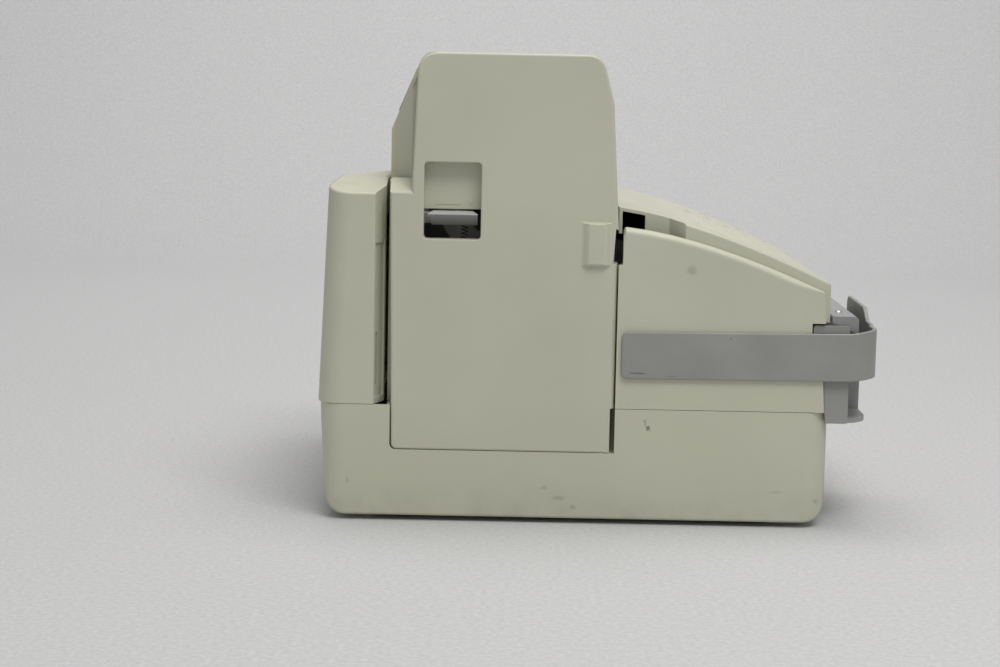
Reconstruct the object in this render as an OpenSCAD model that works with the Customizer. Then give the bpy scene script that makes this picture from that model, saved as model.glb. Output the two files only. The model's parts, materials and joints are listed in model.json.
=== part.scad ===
// Label printing scale: an assembly of separate pieces, in millimetres.
// +X points to the operator's side, +Y away from the label door, +Z up.
// The origin lies on the table, under the middle of the whole machine.

/* [Housing] */
// X of the seam-level front of the base
front_x = 192.2; // [190:0.1:194]
// Y of the flat side that carries the label door
near_y = -190; // [-192:0.5:-188]
// Y of the opposite side, beside the weighing platform
far_y = 194.5; // [190:0.5:200]
// Height of the seam between the base tray and the covers
seam_z = 97; // [94:0.5:99]
// Gap under the base tray, filled by the feet
ground_gap = 4.3; // [4:0.1:6]
// Height of the printer tower
tower_top = 386; // [380:1:400]
// Height of the column behind the door
column_top = 282; // [278:0.5:283]
// Wall thickness of the moulded covers
wall = 2.8; // [2:0.1:3.2]
// Radius of the upright corners of the base
corner_r = 20; // [10:1:24]

/* [Label door] */
// Depth of the door shell
door_depth = 22; // [20:0.5:22]
// Radius of the steel hinge pins
hinge_pin_r = 2.5; // [2:0.1:2.8]

/* [Printer] */
// Outer radius of the loaded label roll
roll_r = 56; // [30:1:60]
// Width of the label web
web_w = 64; // [40:1:68]
// Radius of the rubber platen
platen_r = 9; // [8:0.1:9]
// Module of the drive gears
gear_module = 1; // [1:0.01:1]
// Teeth of the platen gear
platen_teeth = 28; // [28:1:28]
// Teeth of the idler gear
idler_teeth = 42; // [42:1:42]
// Teeth of the motor pinion
pinion_teeth = 16; // [16:1:16]

/* [Platform] */
// Height of the weighing surface
platter_top = 236; // [232:1:240]
// Size of the platter along X
platter_l = 229; // [200:1:229]
// Size of the platter along Y
platter_w = 220; // [200:1:222]

/* [Feet] */
// Radius of a levelling foot
foot_r = 15.6; // [12:0.1:16]
// Radius of a foot's threaded stem
stem_r = 4; // [3:0.1:5]

/* [Hidden] */
$fn = 48;
gap = 0.3;             // clearance between separate mouldings
seam_gap = 0.2;        // half the open line between the base and the covers
fit = 0.05;            // radial running clearance
arc_steps = 5;
cover_z = seam_z + seam_gap;
door_back = near_y + door_depth;
shoulder_slope = 26;     // of the little shelf at the door's rear edge
column_slope = 15;       // of the near end of the column's top
chamfer_z = 281;         // foot of the tower's chamfered edge
console_tilt = 0.37;     // the console's top falls this many degrees from near to far
hinge_x = 0;
hinge_y = near_y + 7;
KNUCKLE_Z = [104, 228, 300];
tower_front = 12.5;
tower_far = -40;
tower_near = door_back + gap;
web_y = -110;          // middle of the label web
plate_y = -62;         // near face of the mechanism plate
plate_t = 1.6;
roll_x = -80;
roll_z = 266;
takeup_x = -96;
takeup_z = 142;
platen_x = 194;
platen_z = 136;
idler_angle = 193;     // direction from the platen to the idler
idler_d = gear_module * (platen_teeth + idler_teeth) / 2;
idler_x = platen_x + idler_d * cos(idler_angle);
idler_z = platen_z + idler_d * sin(idler_angle);
motor_x = idler_x - gear_module * (idler_teeth + pinion_teeth) / 2;
motor_z = idler_z;
head_pivot_x = 138;
head_pivot_z = 168;
lever_x = 102;
lever_z = 182;
guard_t = 3.5;
guard_front = 231;
guard_near = near_y - guard_t;
guard_corner = 23;
frame_near = -187.5;
frame_far = -28;
tray_x = 225;
platter_x = -107;
platter_y = 78;
pad_x = 89;
pad_y = 78;
cell_x = platter_x - 9.5;
cell_z = 122;
cell_l = 150;
cell_w = 32;
cell_h = 30;
rocker_x = -223;
rocker_z = 129;
rocker_tilt = 14;
FOOT_SPOTS = [[156, -164], [156, 164], [-190, -164], [-190, 164]];
GUIDE_SPOTS = [[-14, 152], [66, 118]];
VIAL_SPOT = [-107, 160];
RIVET_Y = [-150, -66];
STUD_X = [40, 150];
BOARD_POSTS = [[-40, -130], [100, -130], [-40, -40], [100, -40]];

// Outlines are lists of corners [x, z, radius]; a missing radius is a sharp corner.
// The base's ends lean outwards up to the given height.
function base_line(top) = [
    [-229 - 0.07 * (top - seam_z), top], [-222.5, ground_gap, 16],
    [front_x - 1.2, ground_gap, 18], [front_x + 0.013 * (top - seam_z), top]
];
DOOR_LINE = [
    [-169.5, 60, 4.5], [-172.8, 283.5, 3], [-155, 283.5, 1.5], [-151, tower_top, 16],
    [-2, tower_top, 14], [8, 348, 30], [14.3, 246, 20], [14.3, 60, 2]
];
// Cuts along the hinge side of the door: from z, to z, and the outline in X and Y.
HINGE_CUTS = [
    [0, 244.5, [[10.4, -200], [10.4, near_y], [12.6, -188.6], [13.8, -186.5],
        [14.3, -184], [15, -183], [40, -200]]],
    [0, 170, [[8.8, -200], [8.8, near_y], [11.6, -189], [13.5, -187],
        [14.3, -184], [15, -183], [40, -200]]],
    [0, seam_z, [[10.8, -200], [10.8, -150], [40, -150], [40, -200]]],
    [216.5, 244.5, [[10.2, -200], [10.2, -150], [40, -150], [40, -200]]]
];
TOWER_LINE = [
    [-174, cover_z], [-174, 322, 10], [-147, tower_top, 12], [-2, tower_top, 14], [8, 348, 30],
    [tower_front, 262], [tower_front, cover_z]
];
PANEL_LINE = concat(
    [[15, cover_z], [15, 215.5], [18.5, 216.5], [18.5, 243.5], [20, 246.8, 1.5]],
    arch([24, 246.4], [87.1, 240], [182, 197.8]),
    [[184.8, 196.6, 2.5], [186, 171], [175, 171], [175, 126], [185.3, 126], [187.1, cover_z]]
);
CONSOLE_LINE = concat(
    [[15.5, 80]],
    arch([15.5, 259.4], [85.9, 250.2], [187, 202.7]),
    [[190.5, 201.1, 2.5], [190.5, 80]]
);
DECK_LINE = [[-229.4, cover_z], [-224, 205, 8], [15.2, 205, 2], [15.2, cover_z]];
KEYPAD_X = [64, 182];
KEYPAD_Y = [-150, 178];

// Points on the curve from p to q that leaves and arrives along the lines through c.
function arch(p, c, q) = [for (t = [0:0.125:1]) (1 - t) * (1 - t) * p + 2 * t * (1 - t) * c + t * t * q];
function at(c, i) = c[(i + len(c)) % len(c)];
function xy(p) = [p[0], p[1]];
function unit(v) = v / norm(v);
function fillet(a, b, c, r) =
    let (u = unit(xy(a) - xy(b)), v = unit(xy(c) - xy(b)),
         half = acos(max(-1, min(1, u * v))) / 2,
         reach = r / tan(half),
         centre = xy(b) + unit(u + v) * (r / sin(half)),
         p = xy(b) + u * reach - centre,
         side = sign(p[0] * (xy(b) + v * reach - centre)[1] - p[1] * (xy(b) + v * reach - centre)[0]),
         turn = side * (180 - 2 * half) / arc_steps)
    [for (i = [0:arc_steps]) centre + [
        p[0] * cos(i * turn) - p[1] * sin(i * turn),
        p[0] * sin(i * turn) + p[1] * cos(i * turn)
    ]];
// Turns a list of corners into points, with each rounded corner as an arc.
function rounded(c) = [
    for (i = [0:len(c) - 1])
        let (r = is_undef(c[i][2]) ? 0 : c[i][2])
        each (r > 0 ? fillet(at(c, i - 1), c[i], at(c, i + 1), r) : [xy(c[i])])
];
function spin_sign(c) = sign([for (i = [0:len(c) - 1])
    c[i][0] * at(c, i + 1)[1] - at(c, i + 1)[0] * c[i][1]] * [for (i = [0:len(c) - 1]) 1]);
function inward(a, b, s) = s * [-(unit(xy(b) - xy(a)))[1], (unit(xy(b) - xy(a)))[0]];
// Moves every edge of an outline inwards by d.
function inset(c, d) = let (s = spin_sign(c)) [
    for (i = [0:len(c) - 1])
        let (n1 = inward(at(c, i - 1), c[i], s), n2 = inward(c[i], at(c, i + 1), s),
             m = n1 + n2, k = 2 * d / (m * m),
             r = is_undef(c[i][2]) ? 0 : max(0, c[i][2] - d))
        [c[i][0] + m[0] * k, c[i][1] + m[1] * k, r]
];

// An outline in X and Z, extruded along Y from y0 to y1.
module along_y(points, y0, y1) {
    translate([0, y1, 0])
        rotate([90, 0, 0])
            linear_extrude(y1 - y0)
                polygon(points);
}

// A box between two corners.
module block(low, high) {
    translate(low)
        cube(high - low);
}

// A round bar along Y.
module bar_y(x, z, y0, y1, r) {
    translate([x, y1, z])
        rotate([90, 0, 0])
            cylinder(r = r, h = y1 - y0);
}

// An upright prism with rounded corners.
module rounded_column(low, high, r) {
    outline = [[low[0], low[1], r], [high[0], low[1], r], [high[0], high[1], r], [low[0], high[1], r]];
    translate([0, 0, low[2]])
        linear_extrude(high[2] - low[2])
            polygon(rounded(outline));
}

module gear(x, z, y0, y1, teeth, phase) {
    pitch_r = gear_module * teeth / 2;
    root_r = pitch_r - 1.05 * gear_module;
    tip_r = pitch_r + 0.85 * gear_module;
    step = 360 / teeth;
    outline = [for (i = [0:teeth - 1], e = [[-0.36, root_r], [-0.13, tip_r], [0.13, tip_r], [0.36, root_r]])
        e[1] * [cos(phase + (i + e[0]) * step), sin(phase + (i + e[0]) * step)]];
    translate([x, y1, z])
        rotate([90, 0, 0])
            linear_extrude(y1 - y0)
                polygon(outline);
}

// ---- housing ----

// The space that the foot of the door hangs and swings in, grown by g on every side.
module door_recess(g) {
    foot = 60 - gap - g;
    left = -170.6 - g;
    right = 15 + g;
    line = [[left, foot, 4.8 + g], [right, foot], [right, seam_z + 20], [left, seam_z + 20]];
    along_y(rounded(line), near_y - 1, door_back + 0.7 + g);
    intersection() {
        translate([hinge_x, hinge_y, foot])
            cylinder(r = 21.4 + g, h = 60);
        block([-40, near_y - 1, 0], [15 + g, -150, seam_z + 20]);
    }
}

module base_tray() {
    rim_z = seam_z - seam_gap;
    color("#b9b8a6")
        difference() {
            intersection() {
                along_y(rounded(base_line(rim_z)), near_y, far_y);
                rounded_column([-229.1, near_y, 0], [front_x + 0.1, far_y, rim_z], corner_r);
            }
            difference() {
                intersection() {
                    along_y(rounded(inset(base_line(rim_z + 10), wall)), near_y + wall, far_y - wall);
                    rounded_column([-226.3, near_y + wall, 0], [front_x - wall, far_y - wall, seam_z + 9],
                        corner_r - wall);
                }
                door_recess(wall);
                for (p = FOOT_SPOTS)
                    translate([p[0], p[1], 0])
                        cylinder(r = stem_r + 4, h = 30);
                for (p = BOARD_POSTS)
                    translate([p[0], p[1], 0])
                        cylinder(r = 4, h = 20);
            }
            door_recess(0);
            for (p = FOOT_SPOTS)
                translate([p[0], p[1], -1])
                    cylinder(r = stem_r + fit, h = 40);
            for (i = [0:7])
                block([-80 + 14 * i, 60, 0], [-74 + 14 * i, 110, 10]);
        }
}

module tower_body() {
    color("#b9b8a6")
        difference() {
            along_y(rounded(TOWER_LINE), tower_near, tower_far);
            along_y(rounded(inset(TOWER_LINE, wall)), tower_near - 1, tower_far - wall);
            // chamfer of the upright edge beside the door, above its shoulder
            translate([0, 0, chamfer_z])
                linear_extrude(140)
                    polygon([[-180, -175], [-156, -175], [-156, tower_near + 1.4],
                        [-171, -150.5], [-180, -150.5]]);
            // room for the swinging edge of the door, which narrows upwards
            translate([hinge_x, hinge_y, 0]) {
                cylinder(r = 21.4, h = 246);
                translate([0, 0, 246])
                    cylinder(r1 = 21.4, r2 = 17.6, h = 104);
                translate([0, 0, 349.9])
                    cylinder(r = 17.6, h = 60);
            }
            // passage for the label web
            block([4, -164, 103], [20, -46, 238]);
            // windows of the two displays
            operator_place()
                block([-6, -43, -21], [4, 43, 21]);
            customer_place()
                block([-4, -41, -19], [6, 41, 19]);
            // vent slots on the platform side
            for (i = [0:5])
                block([-150 + 22 * i, -45, 300], [-136 + 22 * i, -38, 304]);
        }
    color("#a9a895")
        chamfer_wall();
}

// Closes the tower behind its chamfered upright edge.
module chamfer_wall() {
    intersection() {
        along_y(rounded(TOWER_LINE), tower_near, tower_far);
        translate([0, 0, chamfer_z])
            linear_extrude(110)
                polygon([[-176, -146.5], [-176, -150.1], [-171.2, -150.5], [-156.2, tower_near + 1.4],
                    [-150, tower_near + 1.4], [-150, tower_near + 4.2], [-155, tower_near + 4.2],
                    [-169.6, -146.5]]);
    }
}

// The solid form of the column, moved inwards by d on every side but its open foot.
module column_form(d) {
    foot = cover_z - 2 * d;
    lean = 7.4 / (column_top - cover_z);
    intersection() {
        hull()
            for (z = [foot, column_top + 3])
                translate([0, 0, z])
                    linear_extrude(0.01)
                        polygon(rounded(inset(column_plan(-231 + lean * (z - cover_z)), d)));
        along_y(rounded(inset(column_crown(foot - d), d)), near_y - 1, tower_far + 1);
        // the near end of the top slopes up from the face
        translate([0, 0, -d / cos(column_slope)])
            rotate([90, 0, 90])
                translate([0, 0, -240])
                    linear_extrude(80)
                        polygon([[near_y - 5, 0], [near_y - 5, 269.5],
                            [near_y + 45, 269.5 + 50 * tan(column_slope)],
                            [tower_far + 5, 300], [tower_far + 5, 0]]);
    }
}

function column_plan(x) = [
    [x, near_y, corner_r], [-184.5, near_y], [-176.5, -170, 4],
    [-176.5, tower_far, 2], [x, tower_far, 9]
];
function column_crown(foot) = [
    [-240, foot], [-225.5, column_top - 5.5, 8], [-175.8, column_top, 4], [-175.8, foot]
];

module column_cover() {
    color("#b9b8a6")
        difference() {
            column_form(0);
            column_form(wall);
            // open to the tower, and to the sockets at the back
            block([-182, -160, 110], [-170, -60, 250]);
            block([-235, -166, 116], [-224, -106, 146]);
            block([-235, -96, 116], [-224, -72, 142]);
            // recessed panel in the bevelled edge beside the door, with its slot
            translate([-184.5, near_y, 0])
                rotate([0, 0, atan2(20, 8)]) {
                    block([1.6, -1, 102.4], [19.5, 1.5, 230]);
                    block([7, -1, 112], [10, 5, 156]);
                }
        }
}

module front_panel() {
    color("#b9b8a6")
        difference() {
            along_y(rounded(PANEL_LINE), near_y, near_y + 8.5);
            along_y(rounded(inset(PANEL_LINE, wall)), near_y + wall, near_y + 9);
            block([18, near_y + wall, 90], [184, near_y + 9, 101]);
            for (x = STUD_X)
                bar_y(x, 142, near_y - 1, near_y + 9, 2.1);
        }
}

// The console's outline moved inwards by d, between two depths, and tilted with its top.
module console_prism(d, y0, y1) {
    translate([0, far_y, 200])
        rotate([-console_tilt, 0, 0])
            translate([0, -far_y, -200])
                along_y(rounded(inset(CONSOLE_LINE, d)), y0, y1);
}

// The solid form of the console, moved inwards by d on every side but its open foot.
module console_form(d) {
    intersection() {
        console_prism(d, near_y, far_y + 10);
        block([10, near_y + 9 + d, cover_z - d], [200, far_y - d, 280]);
    }
}

module console_cover() {
    color("#b9b8a6")
        difference() {
            console_form(0);
            console_form(wall);
            // swing room of the door, and the angled face beside it
            linear_extrude(280)
                polygon([[0, -200], [70, -200], [70, -181.2], [57.2, -166], [0, -166]]);
            // tower side
            block([0, -170, 90], [18.4, tower_far + 2, 240]);
            // label outlet
            block([150, -200, 90], [200, frame_far + 1, 171]);
            block([60, -200, 90], [187, -177, 171]);
            // seat of the keypad sheet
            keypad_band(-0.5, 1);
        }
    // inner wall behind the angled corner
    color("#b9b8a6")
        intersection() {
            console_prism(wall, near_y, far_y);
            block([30, near_y + 9, 200], [80, -150, 280]);
            translate([0, 0, 200])
                linear_extrude(80)
                    polygon([[37, -166], [57.2, -166], [70, -181.2], [70, -177.2],
                        [58.4, -163.2], [37, -163.2]]);
        }
}

// The part of the console's upper skin under the keypad sheet, between two heights above it.
module keypad_band(low, high) {
    difference() {
        intersection() {
            translate([0, 0, high])
                console_prism(0, KEYPAD_Y[0] - 1, KEYPAD_Y[1] + 1);
            rounded_column([KEYPAD_X[0], KEYPAD_Y[0], 190], [KEYPAD_X[1], KEYPAD_Y[1], 280], 5);
        }
        translate([0, 0, low])
            console_prism(0, KEYPAD_Y[0] - 2, KEYPAD_Y[1] + 2);
    }
}

module deck_cover() {
    color("#b9b8a6")
        difference() {
            intersection() {
                along_y(rounded(DECK_LINE), tower_far + 1, far_y);
                rounded_column([-230, tower_far + 1, 90], [15.2, far_y, 210], 8);
            }
            along_y(rounded(inset(DECK_LINE, wall)), tower_far + 1 + wall, far_y - wall);
            block([-226, tower_far + 4, 90], [12, far_y - wall, 102]);
            // openings for the riser of the load cell and for the level
            block([platter_x - 41.5, 50, 190], [platter_x + 22.5, 110, 210]);
            translate([VIAL_SPOT[0], VIAL_SPOT[1], 190])
                cylinder(r = 11.2, h = 30);
        }
}

// A levelling foot: a tapered pad with a moulded threaded stem.
module levelling_foot(spot) {
    color("#c9bfa8")
        translate([spot[0], spot[1], 0])
            rotate_extrude()
                polygon([[0, 0], [11.4, 0], [12.2, 0.6], [foot_r, 3.4], [foot_r, ground_gap - gap],
                    [stem_r, ground_gap - gap], [stem_r, 34], [stem_r - 1, 35], [0, 35]]);
}

// ---- label door ----

// The solid form of the door, moved inwards by d on every side but its open back.
module door_form(d) {
    difference() {
        along_y(rounded(inset(DOOR_LINE, d)), near_y + d, door_back + d);
        for (cut = HINGE_CUTS)
            translate([-d, d, cut[0] - d])
                linear_extrude(cut[1] - cut[0] + 2 * d)
                    polygon(cut[2]);
        // sloping top of the shoulder
        translate([-180, near_y, 272 - d / cos(shoulder_slope)])
            rotate([shoulder_slope, 0, 0])
                translate([0, -10, 0])
                    cube([180 - 154.9 + d, 50, 30]);
    }
}

module door_shell() {
    recess = [[-145, 234.5, 3], [-98.5, 234.5, 3], [-98.5, 297, 3], [-145, 297, 3]];
    color("#b9b8a6")
        difference() {
            union() {
                difference() {
                    door_form(0);
                    door_form(wall);
                }
                // latch pocket
                along_y(rounded(inset(recess, -2)), near_y + 1, near_y + 15);
                // bulge over the middle of the hinge
                intersection() {
                    translate([-3.5, near_y + 8.4, 216])
                        cylinder(r = 14.2, h = 33.5);
                    block([-20, near_y - 4.5, 210], [9.8, near_y + 2, 255]);
                }
                // knuckles of the hinge
                for (z = KNUCKLE_Z)
                    translate([hinge_x, hinge_y, z]) {
                        cylinder(r = 5.4, h = 10);
                        translate([-5.4, -5, 0])
                            cube([10.8, 5, 10]);
                    }
                // seat of the latch spring
                block([-117, near_y + 1, 224.5], [-107, near_y + 20.5, 227]);
            }
            along_y(rounded(recess), near_y - 1, near_y + 13);
            // finger hollow under the handle
            block([-145.4, near_y + 12, 234.1], [-98.1, near_y + 16, 258.4]);
            for (z = KNUCKLE_Z)
                translate([hinge_x, hinge_y, z - 5])
                    cylinder(r = hinge_pin_r + fit, h = 20);
            // slots that the fixed hinge arms pass through
            for (z = KNUCKLE_Z)
                block([6, hinge_y - 3, z - 4.6], [20, door_back + 1, z + 0.4]);
        }
}

module hinge_bracket() {
    arm = [[3, 1.2], [-4.5, 18.5], [6.5, 23.5], [6.5, 33], [3.8, 33], [3.8, 27], [-13, 20], [-3.4, 1]];
    color("#8f9396")
        for (z = KNUCKLE_Z)
            translate([hinge_x, hinge_y, z - 3.3])
                difference() {
                    linear_extrude(3) {
                        circle(r = 3.7);
                        polygon(arm);
                    }
                    translate([0, 0, -1])
                        cylinder(r = hinge_pin_r, h = 5);
                }
    color("#8f9396")
        block([hinge_x + 3.8, hinge_y + 26, KNUCKLE_Z[0] - 3.3],
            [hinge_x + 6.5, hinge_y + 33, KNUCKLE_Z[2] - 0.3]);
}

module hinge_pins() {
    color("#c6c9cc")
        for (z = KNUCKLE_Z)
            translate([hinge_x, hinge_y, z - 6])
                cylinder(r = hinge_pin_r, h = 17);
}

module latch_handle() {
    color("#7e7f7b") {
        // the grip: a front lip, a lower edge set back from it and a top that rises to the rear
        hull() {
            block([-142, near_y + 1.4, 254.2], [-101.2, near_y + 2, 255]);
            block([-138.4, near_y + 8, 245.6], [-101.2, near_y + 9, 246]);
            block([-137.6, near_y + 11.4, 256.2], [-105.4, near_y + 12.4, 257]);
        }
        // stem, plate and hook behind the pocket
        block([-126.4, near_y + 8, 251], [-119.6, near_y + 15.6, 256.6]);
        block([-150, near_y + 15.3, 246.2], [-108, near_y + 18, 256]);
        block([-116, near_y + 15.3, 246.2], [-108, near_y + 21.6, 248.6]);
        block([-150, near_y + 17.9, 243.6], [-145, -161, 248.6]);
        block([-150, -164.6, 243.6], [-145, -161, 252.6]);
    }
}

function ring(centre, r, t) = [for (k = [0:7])
    centre + (r * cos(45 * k)) * [cos(t), sin(t), 0] + [0, 0, r * sin(45 * k)]];
module latch_spring() {
    coil_r = 2.5;
    turns = 6;
    steps = 12 * turns;
    low = 227.6;
    rise = 18;
    points = [for (i = [0:steps])
        each ring([coil_r * cos(30 * i), coil_r * sin(30 * i), low + rise * i / steps], 0.5, 30 * i)];
    sides = [for (i = [0:steps - 1], k = [0:7])
        [8 * i + k, 8 * i + (k + 1) % 8, 8 * i + 8 + (k + 1) % 8, 8 * i + 8 + k]];
    ends = [[for (k = [7:-1:0]) k], [for (k = [0:7]) 8 * steps + k]];
    color("#c6c9cc")
        translate([-112, near_y + 18.4, 0])
            polyhedron(points, concat(sides, ends));
}

module latch_keeper() {
    color("#8f9396") {
        block([-171.2, -167.4, 249.2], [-142, -165.4, 262]);
        block([-171.2, -165.4, 249.2], [-169.2, -140, 262]);
    }
}

// ---- label outlet ----

module label_guard() {
    strap = [[19, 122.5, 5], [19, 161.5, 5], [206, 163.2], [240, 167.6], [240, 126.8, 4], [206, 123.6]];
    front_in = guard_front - guard_t;
    near_in = guard_near + guard_t;
    plan = [[19, guard_near], [guard_front, guard_near, guard_corner], [guard_front, -27],
        [front_in, -27], [front_in, near_in, guard_corner - guard_t], [19, near_in]];
    color("#8c8e8b")
        intersection() {
            linear_extrude(200)
                polygon(rounded(plan));
            union() {
                along_y(rounded(strap), guard_near - 1, -150);
                // the front wall rises beyond the near corner and ends in a round
                translate([100, 0, 0])
                    rotate([90, 0, 90])
                        linear_extrude(200)
                            polygon(rounded([[-152, 126.8], [-152, 167.6], [-134, 168, 10], [-116, 178, 10],
                                [-27, 178.4, 9], [-27, 132, 5]]));
            }
        }
    // studs that hold the strap to the side panel
    color("#8c8e8b")
        for (x = STUD_X)
            bar_y(x, 142, near_y - 0.2, near_y + 5, 2);
}

module outlet_frame() {
    cheek = [[186.2, 126.4], [176.4, 126.4], [176.4, 169.2, 2], [206.4, 169.2, 2], [207, 101], [207, 88, 2],
        [188.8, 88], [187.6, 99]];
    color("#8c8e8b") {
        along_y(rounded(cheek), frame_near, frame_near + 3);
        along_y(rounded([[192.8, 88], [192.8, 168, 2], [tray_x, 168, 2], [tray_x, 88]]),
            frame_far - 3, frame_far);
        // floor of the outlet with a wide round near corner
        translate([0, 0, 88])
            linear_extrude(3.5)
                polygon(rounded([[192.8, frame_near + 1.5], [tray_x, frame_near + 1.5, 28],
                    [tray_x, frame_far - 1], [192.8, frame_far - 1]]));
        // upright front wall under the guard, with a return at its near end
        block([tray_x - 3.2, -128, 89], [tray_x, frame_far - 1, 121]);
        block([tray_x - 13, -128, 89], [tray_x - 1, -124.8, 121]);
        // cross rail that the covers screw to
        block([192.8, frame_near + 2, 89], [196, frame_far - 2, 104]);
    }
}

module outlet_hood() {
    hood = [[192.2, 171.8], [192.2, 176.6, 1.5], [214, 176.6, 3.5], [214, 162, 1]];
    color("#7f8284")
        difference() {
            along_y(rounded(hood), -183.8, frame_far - 3.6);
            along_y(rounded(inset(concat(hood, [[193, 150]]), 1.6)), -182.2, frame_far - 5.2);
            block([190, -182.2, 150], [212.4, frame_far - 5.2, 172]);
            for (y = RIVET_Y)
                translate([202, y, 170])
                    cylinder(r = 1.6, h = 12);
        }
}

module hood_rivets() {
    color("#d7d8d6")
        for (y = RIVET_Y)
            translate([202, y, 0]) {
                translate([0, 0, 173])
                    cylinder(r = 1.6, h = 3.8);
                translate([0, 0, 176.7])
                    intersection() {
                        cylinder(r = 3.2, h = 1.7);
                        translate([0, 0, -2.6])
                            sphere(r = 4.2);
                    }
            }
}

// ---- controls and displays ----

module keypad_overlay() {
    color("#d8d8cf")
        keypad_band(-0.45, -0.05);
}

module keypad_board() {
    color("#2f6b46")
        difference() {
            intersection() {
                translate([0, 0, -3.6])
                    console_prism(0, KEYPAD_Y[0], KEYPAD_Y[1]);
                block([90, KEYPAD_Y[0] + 4, 190], [178, KEYPAD_Y[1] - 4, 280]);
            }
            translate([0, 0, -5.2])
                console_prism(0, KEYPAD_Y[0] - 1, KEYPAD_Y[1] + 1);
        }
}

module operator_place() {
    translate([9.3, -104, 320])
        rotate([0, -2.9, 0])
            children();
}

module customer_place() {
    translate([-160.5, -100, 354])
        rotate([0, 22.9, 0])
            children();
}

module operator_window() {
    color("#6f7d86", 0.5)
        operator_place()
            block([-1.4, -42.8, -20.8], [0.8, 42.8, 20.8]);
}

module operator_display() {
    color("#3d4a3a")
        operator_place() {
            block([-8, -41, -19], [-3, 41, 19]);
            block([-9.6, -43, -24], [-8, 43, 24]);
        }
}

module customer_window() {
    color("#6f7d86", 0.5)
        customer_place()
            block([-1.2, -40.8, -18.8], [1, 40.8, 18.8]);
}

module customer_display() {
    color("#3d4a3a")
        customer_place() {
            block([3.6, -39, -17], [8, 39, 17]);
            block([8, -44, -22], [9.6, 44, 22]);
        }
}

module level_cup() {
    color("#3b3c3c")
        translate([VIAL_SPOT[0], VIAL_SPOT[1], 196])
            difference() {
                cylinder(r = 11, h = 10.2);
                translate([0, 0, 2])
                    cylinder(r = 9, h = 10);
            }
}

module level_vial() {
    color("#b8c85a", 0.7)
        translate([VIAL_SPOT[0], VIAL_SPOT[1], 198.05])
            cylinder(r = 8.9, h = 7.6);
}

// ---- printer mechanism ----

module mechanism_plate() {
    outline = [[-152, 104], [-152, 318, 20], [-40, 318, 20], [-4, 262, 20], [14, 228, 6],
        [120, 204, 10], [180, 168, 6], [204, 160, 4], [204, 108, 4], [184, 104]];
    color("#a7abae")
        difference() {
            along_y(rounded(outline), plate_y, plate_y + plate_t);
            bar_y(platen_x, platen_z, plate_y - 1, plate_y + 3, 4 + fit);
            bar_y(takeup_x, takeup_z, plate_y - 1, plate_y + 3, 8);
            bar_y(motor_x, motor_z, plate_y - 1, plate_y + 3, 11);
            bar_y(roll_x, roll_z, plate_y - 1, plate_y + 3, 6);
            bar_y(idler_x, idler_z, plate_y - 1, plate_y + 3, 3);
            bar_y(head_pivot_x, head_pivot_z, plate_y - 1, plate_y + 3, 3);
            bar_y(lever_x, lever_z, plate_y - 1, plate_y + 3, 3);
            for (g = GUIDE_SPOTS)
                bar_y(g[0], g[1], plate_y - 1, plate_y + 3, 3);
        }
}

// Threaded posts that hold the plate to the tower wall.
module plate_struts() {
    color("#c6c9cc")
        for (p = [[-140, 120], [-140, 300], [-56, 304], [-20, 112]])
            bar_y(p[0], p[1], plate_y + plate_t, tower_far - wall, 4);
}

module roll_spindle() {
    color("#c6c9cc") {
        bar_y(roll_x, roll_z, -158, plate_y + plate_t, 6);
        bar_y(roll_x, roll_z, plate_y - 4, plate_y, 12);
        bar_y(lever_x, lever_z, -156, plate_y + plate_t, 3);
        bar_y(idler_x, idler_z, -74, plate_y + plate_t, 3);
    }
}

module roll_hub() {
    color("#3a3b3c")
        difference() {
            union() {
                bar_y(roll_x, roll_z, -150, plate_y - 5, 12.4);
                bar_y(roll_x, roll_z, plate_y - 7, plate_y - 5, 40);
                bar_y(roll_x, roll_z, -150, -147, 34);
            }
            bar_y(roll_x, roll_z, -160, plate_y, 6 + fit);
        }
}

module label_core() {
    color("#a3835c")
        difference() {
            bar_y(roll_x, roll_z, web_y - web_w / 2 - 1, web_y + web_w / 2 + 1, 15);
            bar_y(roll_x, roll_z, web_y - web_w, web_y + web_w, 12.45);
        }
}

module label_roll() {
    color("#f1efe6")
        difference() {
            bar_y(roll_x, roll_z, web_y - web_w / 2, web_y + web_w / 2, roll_r);
            bar_y(roll_x, roll_z, web_y - web_w, web_y + web_w, 15.05);
        }
}

module rewind_motor() {
    color("#54585b") {
        bar_y(takeup_x, takeup_z, plate_y + plate_t, tower_far - wall - 1, 15);
        bar_y(takeup_x, takeup_z, plate_y - 1.5, plate_y + plate_t, 7.6);
    }
}

module takeup_spool() {
    color("#3a3b3c") {
        bar_y(takeup_x, takeup_z, -150, plate_y - 2, 6);
        bar_y(takeup_x, takeup_z, plate_y - 5, plate_y - 2, 33);
        bar_y(takeup_x, takeup_z, -152, -150, 9);
    }
}

module wound_liner() {
    color("#d9cfae")
        difference() {
            bar_y(takeup_x, takeup_z, web_y - web_w / 2, web_y + web_w / 2, 22);
            bar_y(takeup_x, takeup_z, web_y - web_w, web_y + web_w, 6.05);
        }
}

module guide_pins() {
    color("#c6c9cc")
        for (g = GUIDE_SPOTS)
            bar_y(g[0], g[1], -150, plate_y + plate_t, 3);
}

module guide_roller(g) {
    color("#4a4c4d")
        difference() {
            union() {
                bar_y(g[0], g[1], -147, plate_y - 3, 6.4);
                for (y = [-147, plate_y - 5])
                    bar_y(g[0], g[1], y, y + 2, 9);
            }
            bar_y(g[0], g[1], -150, plate_y, 3 + fit);
        }
}

module label_sensor() {
    color("#26292b") {
        block([24, -132, 137], [46, plate_y, 143]);
        block([24, -132, 148], [46, plate_y, 153]);
        block([24, plate_y - 8, 143], [46, plate_y, 148]);
    }
}

module platen_shaft() {
    color("#c6c9cc")
        bar_y(platen_x, platen_z, -172, plate_y + 10, 4);
}

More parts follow.
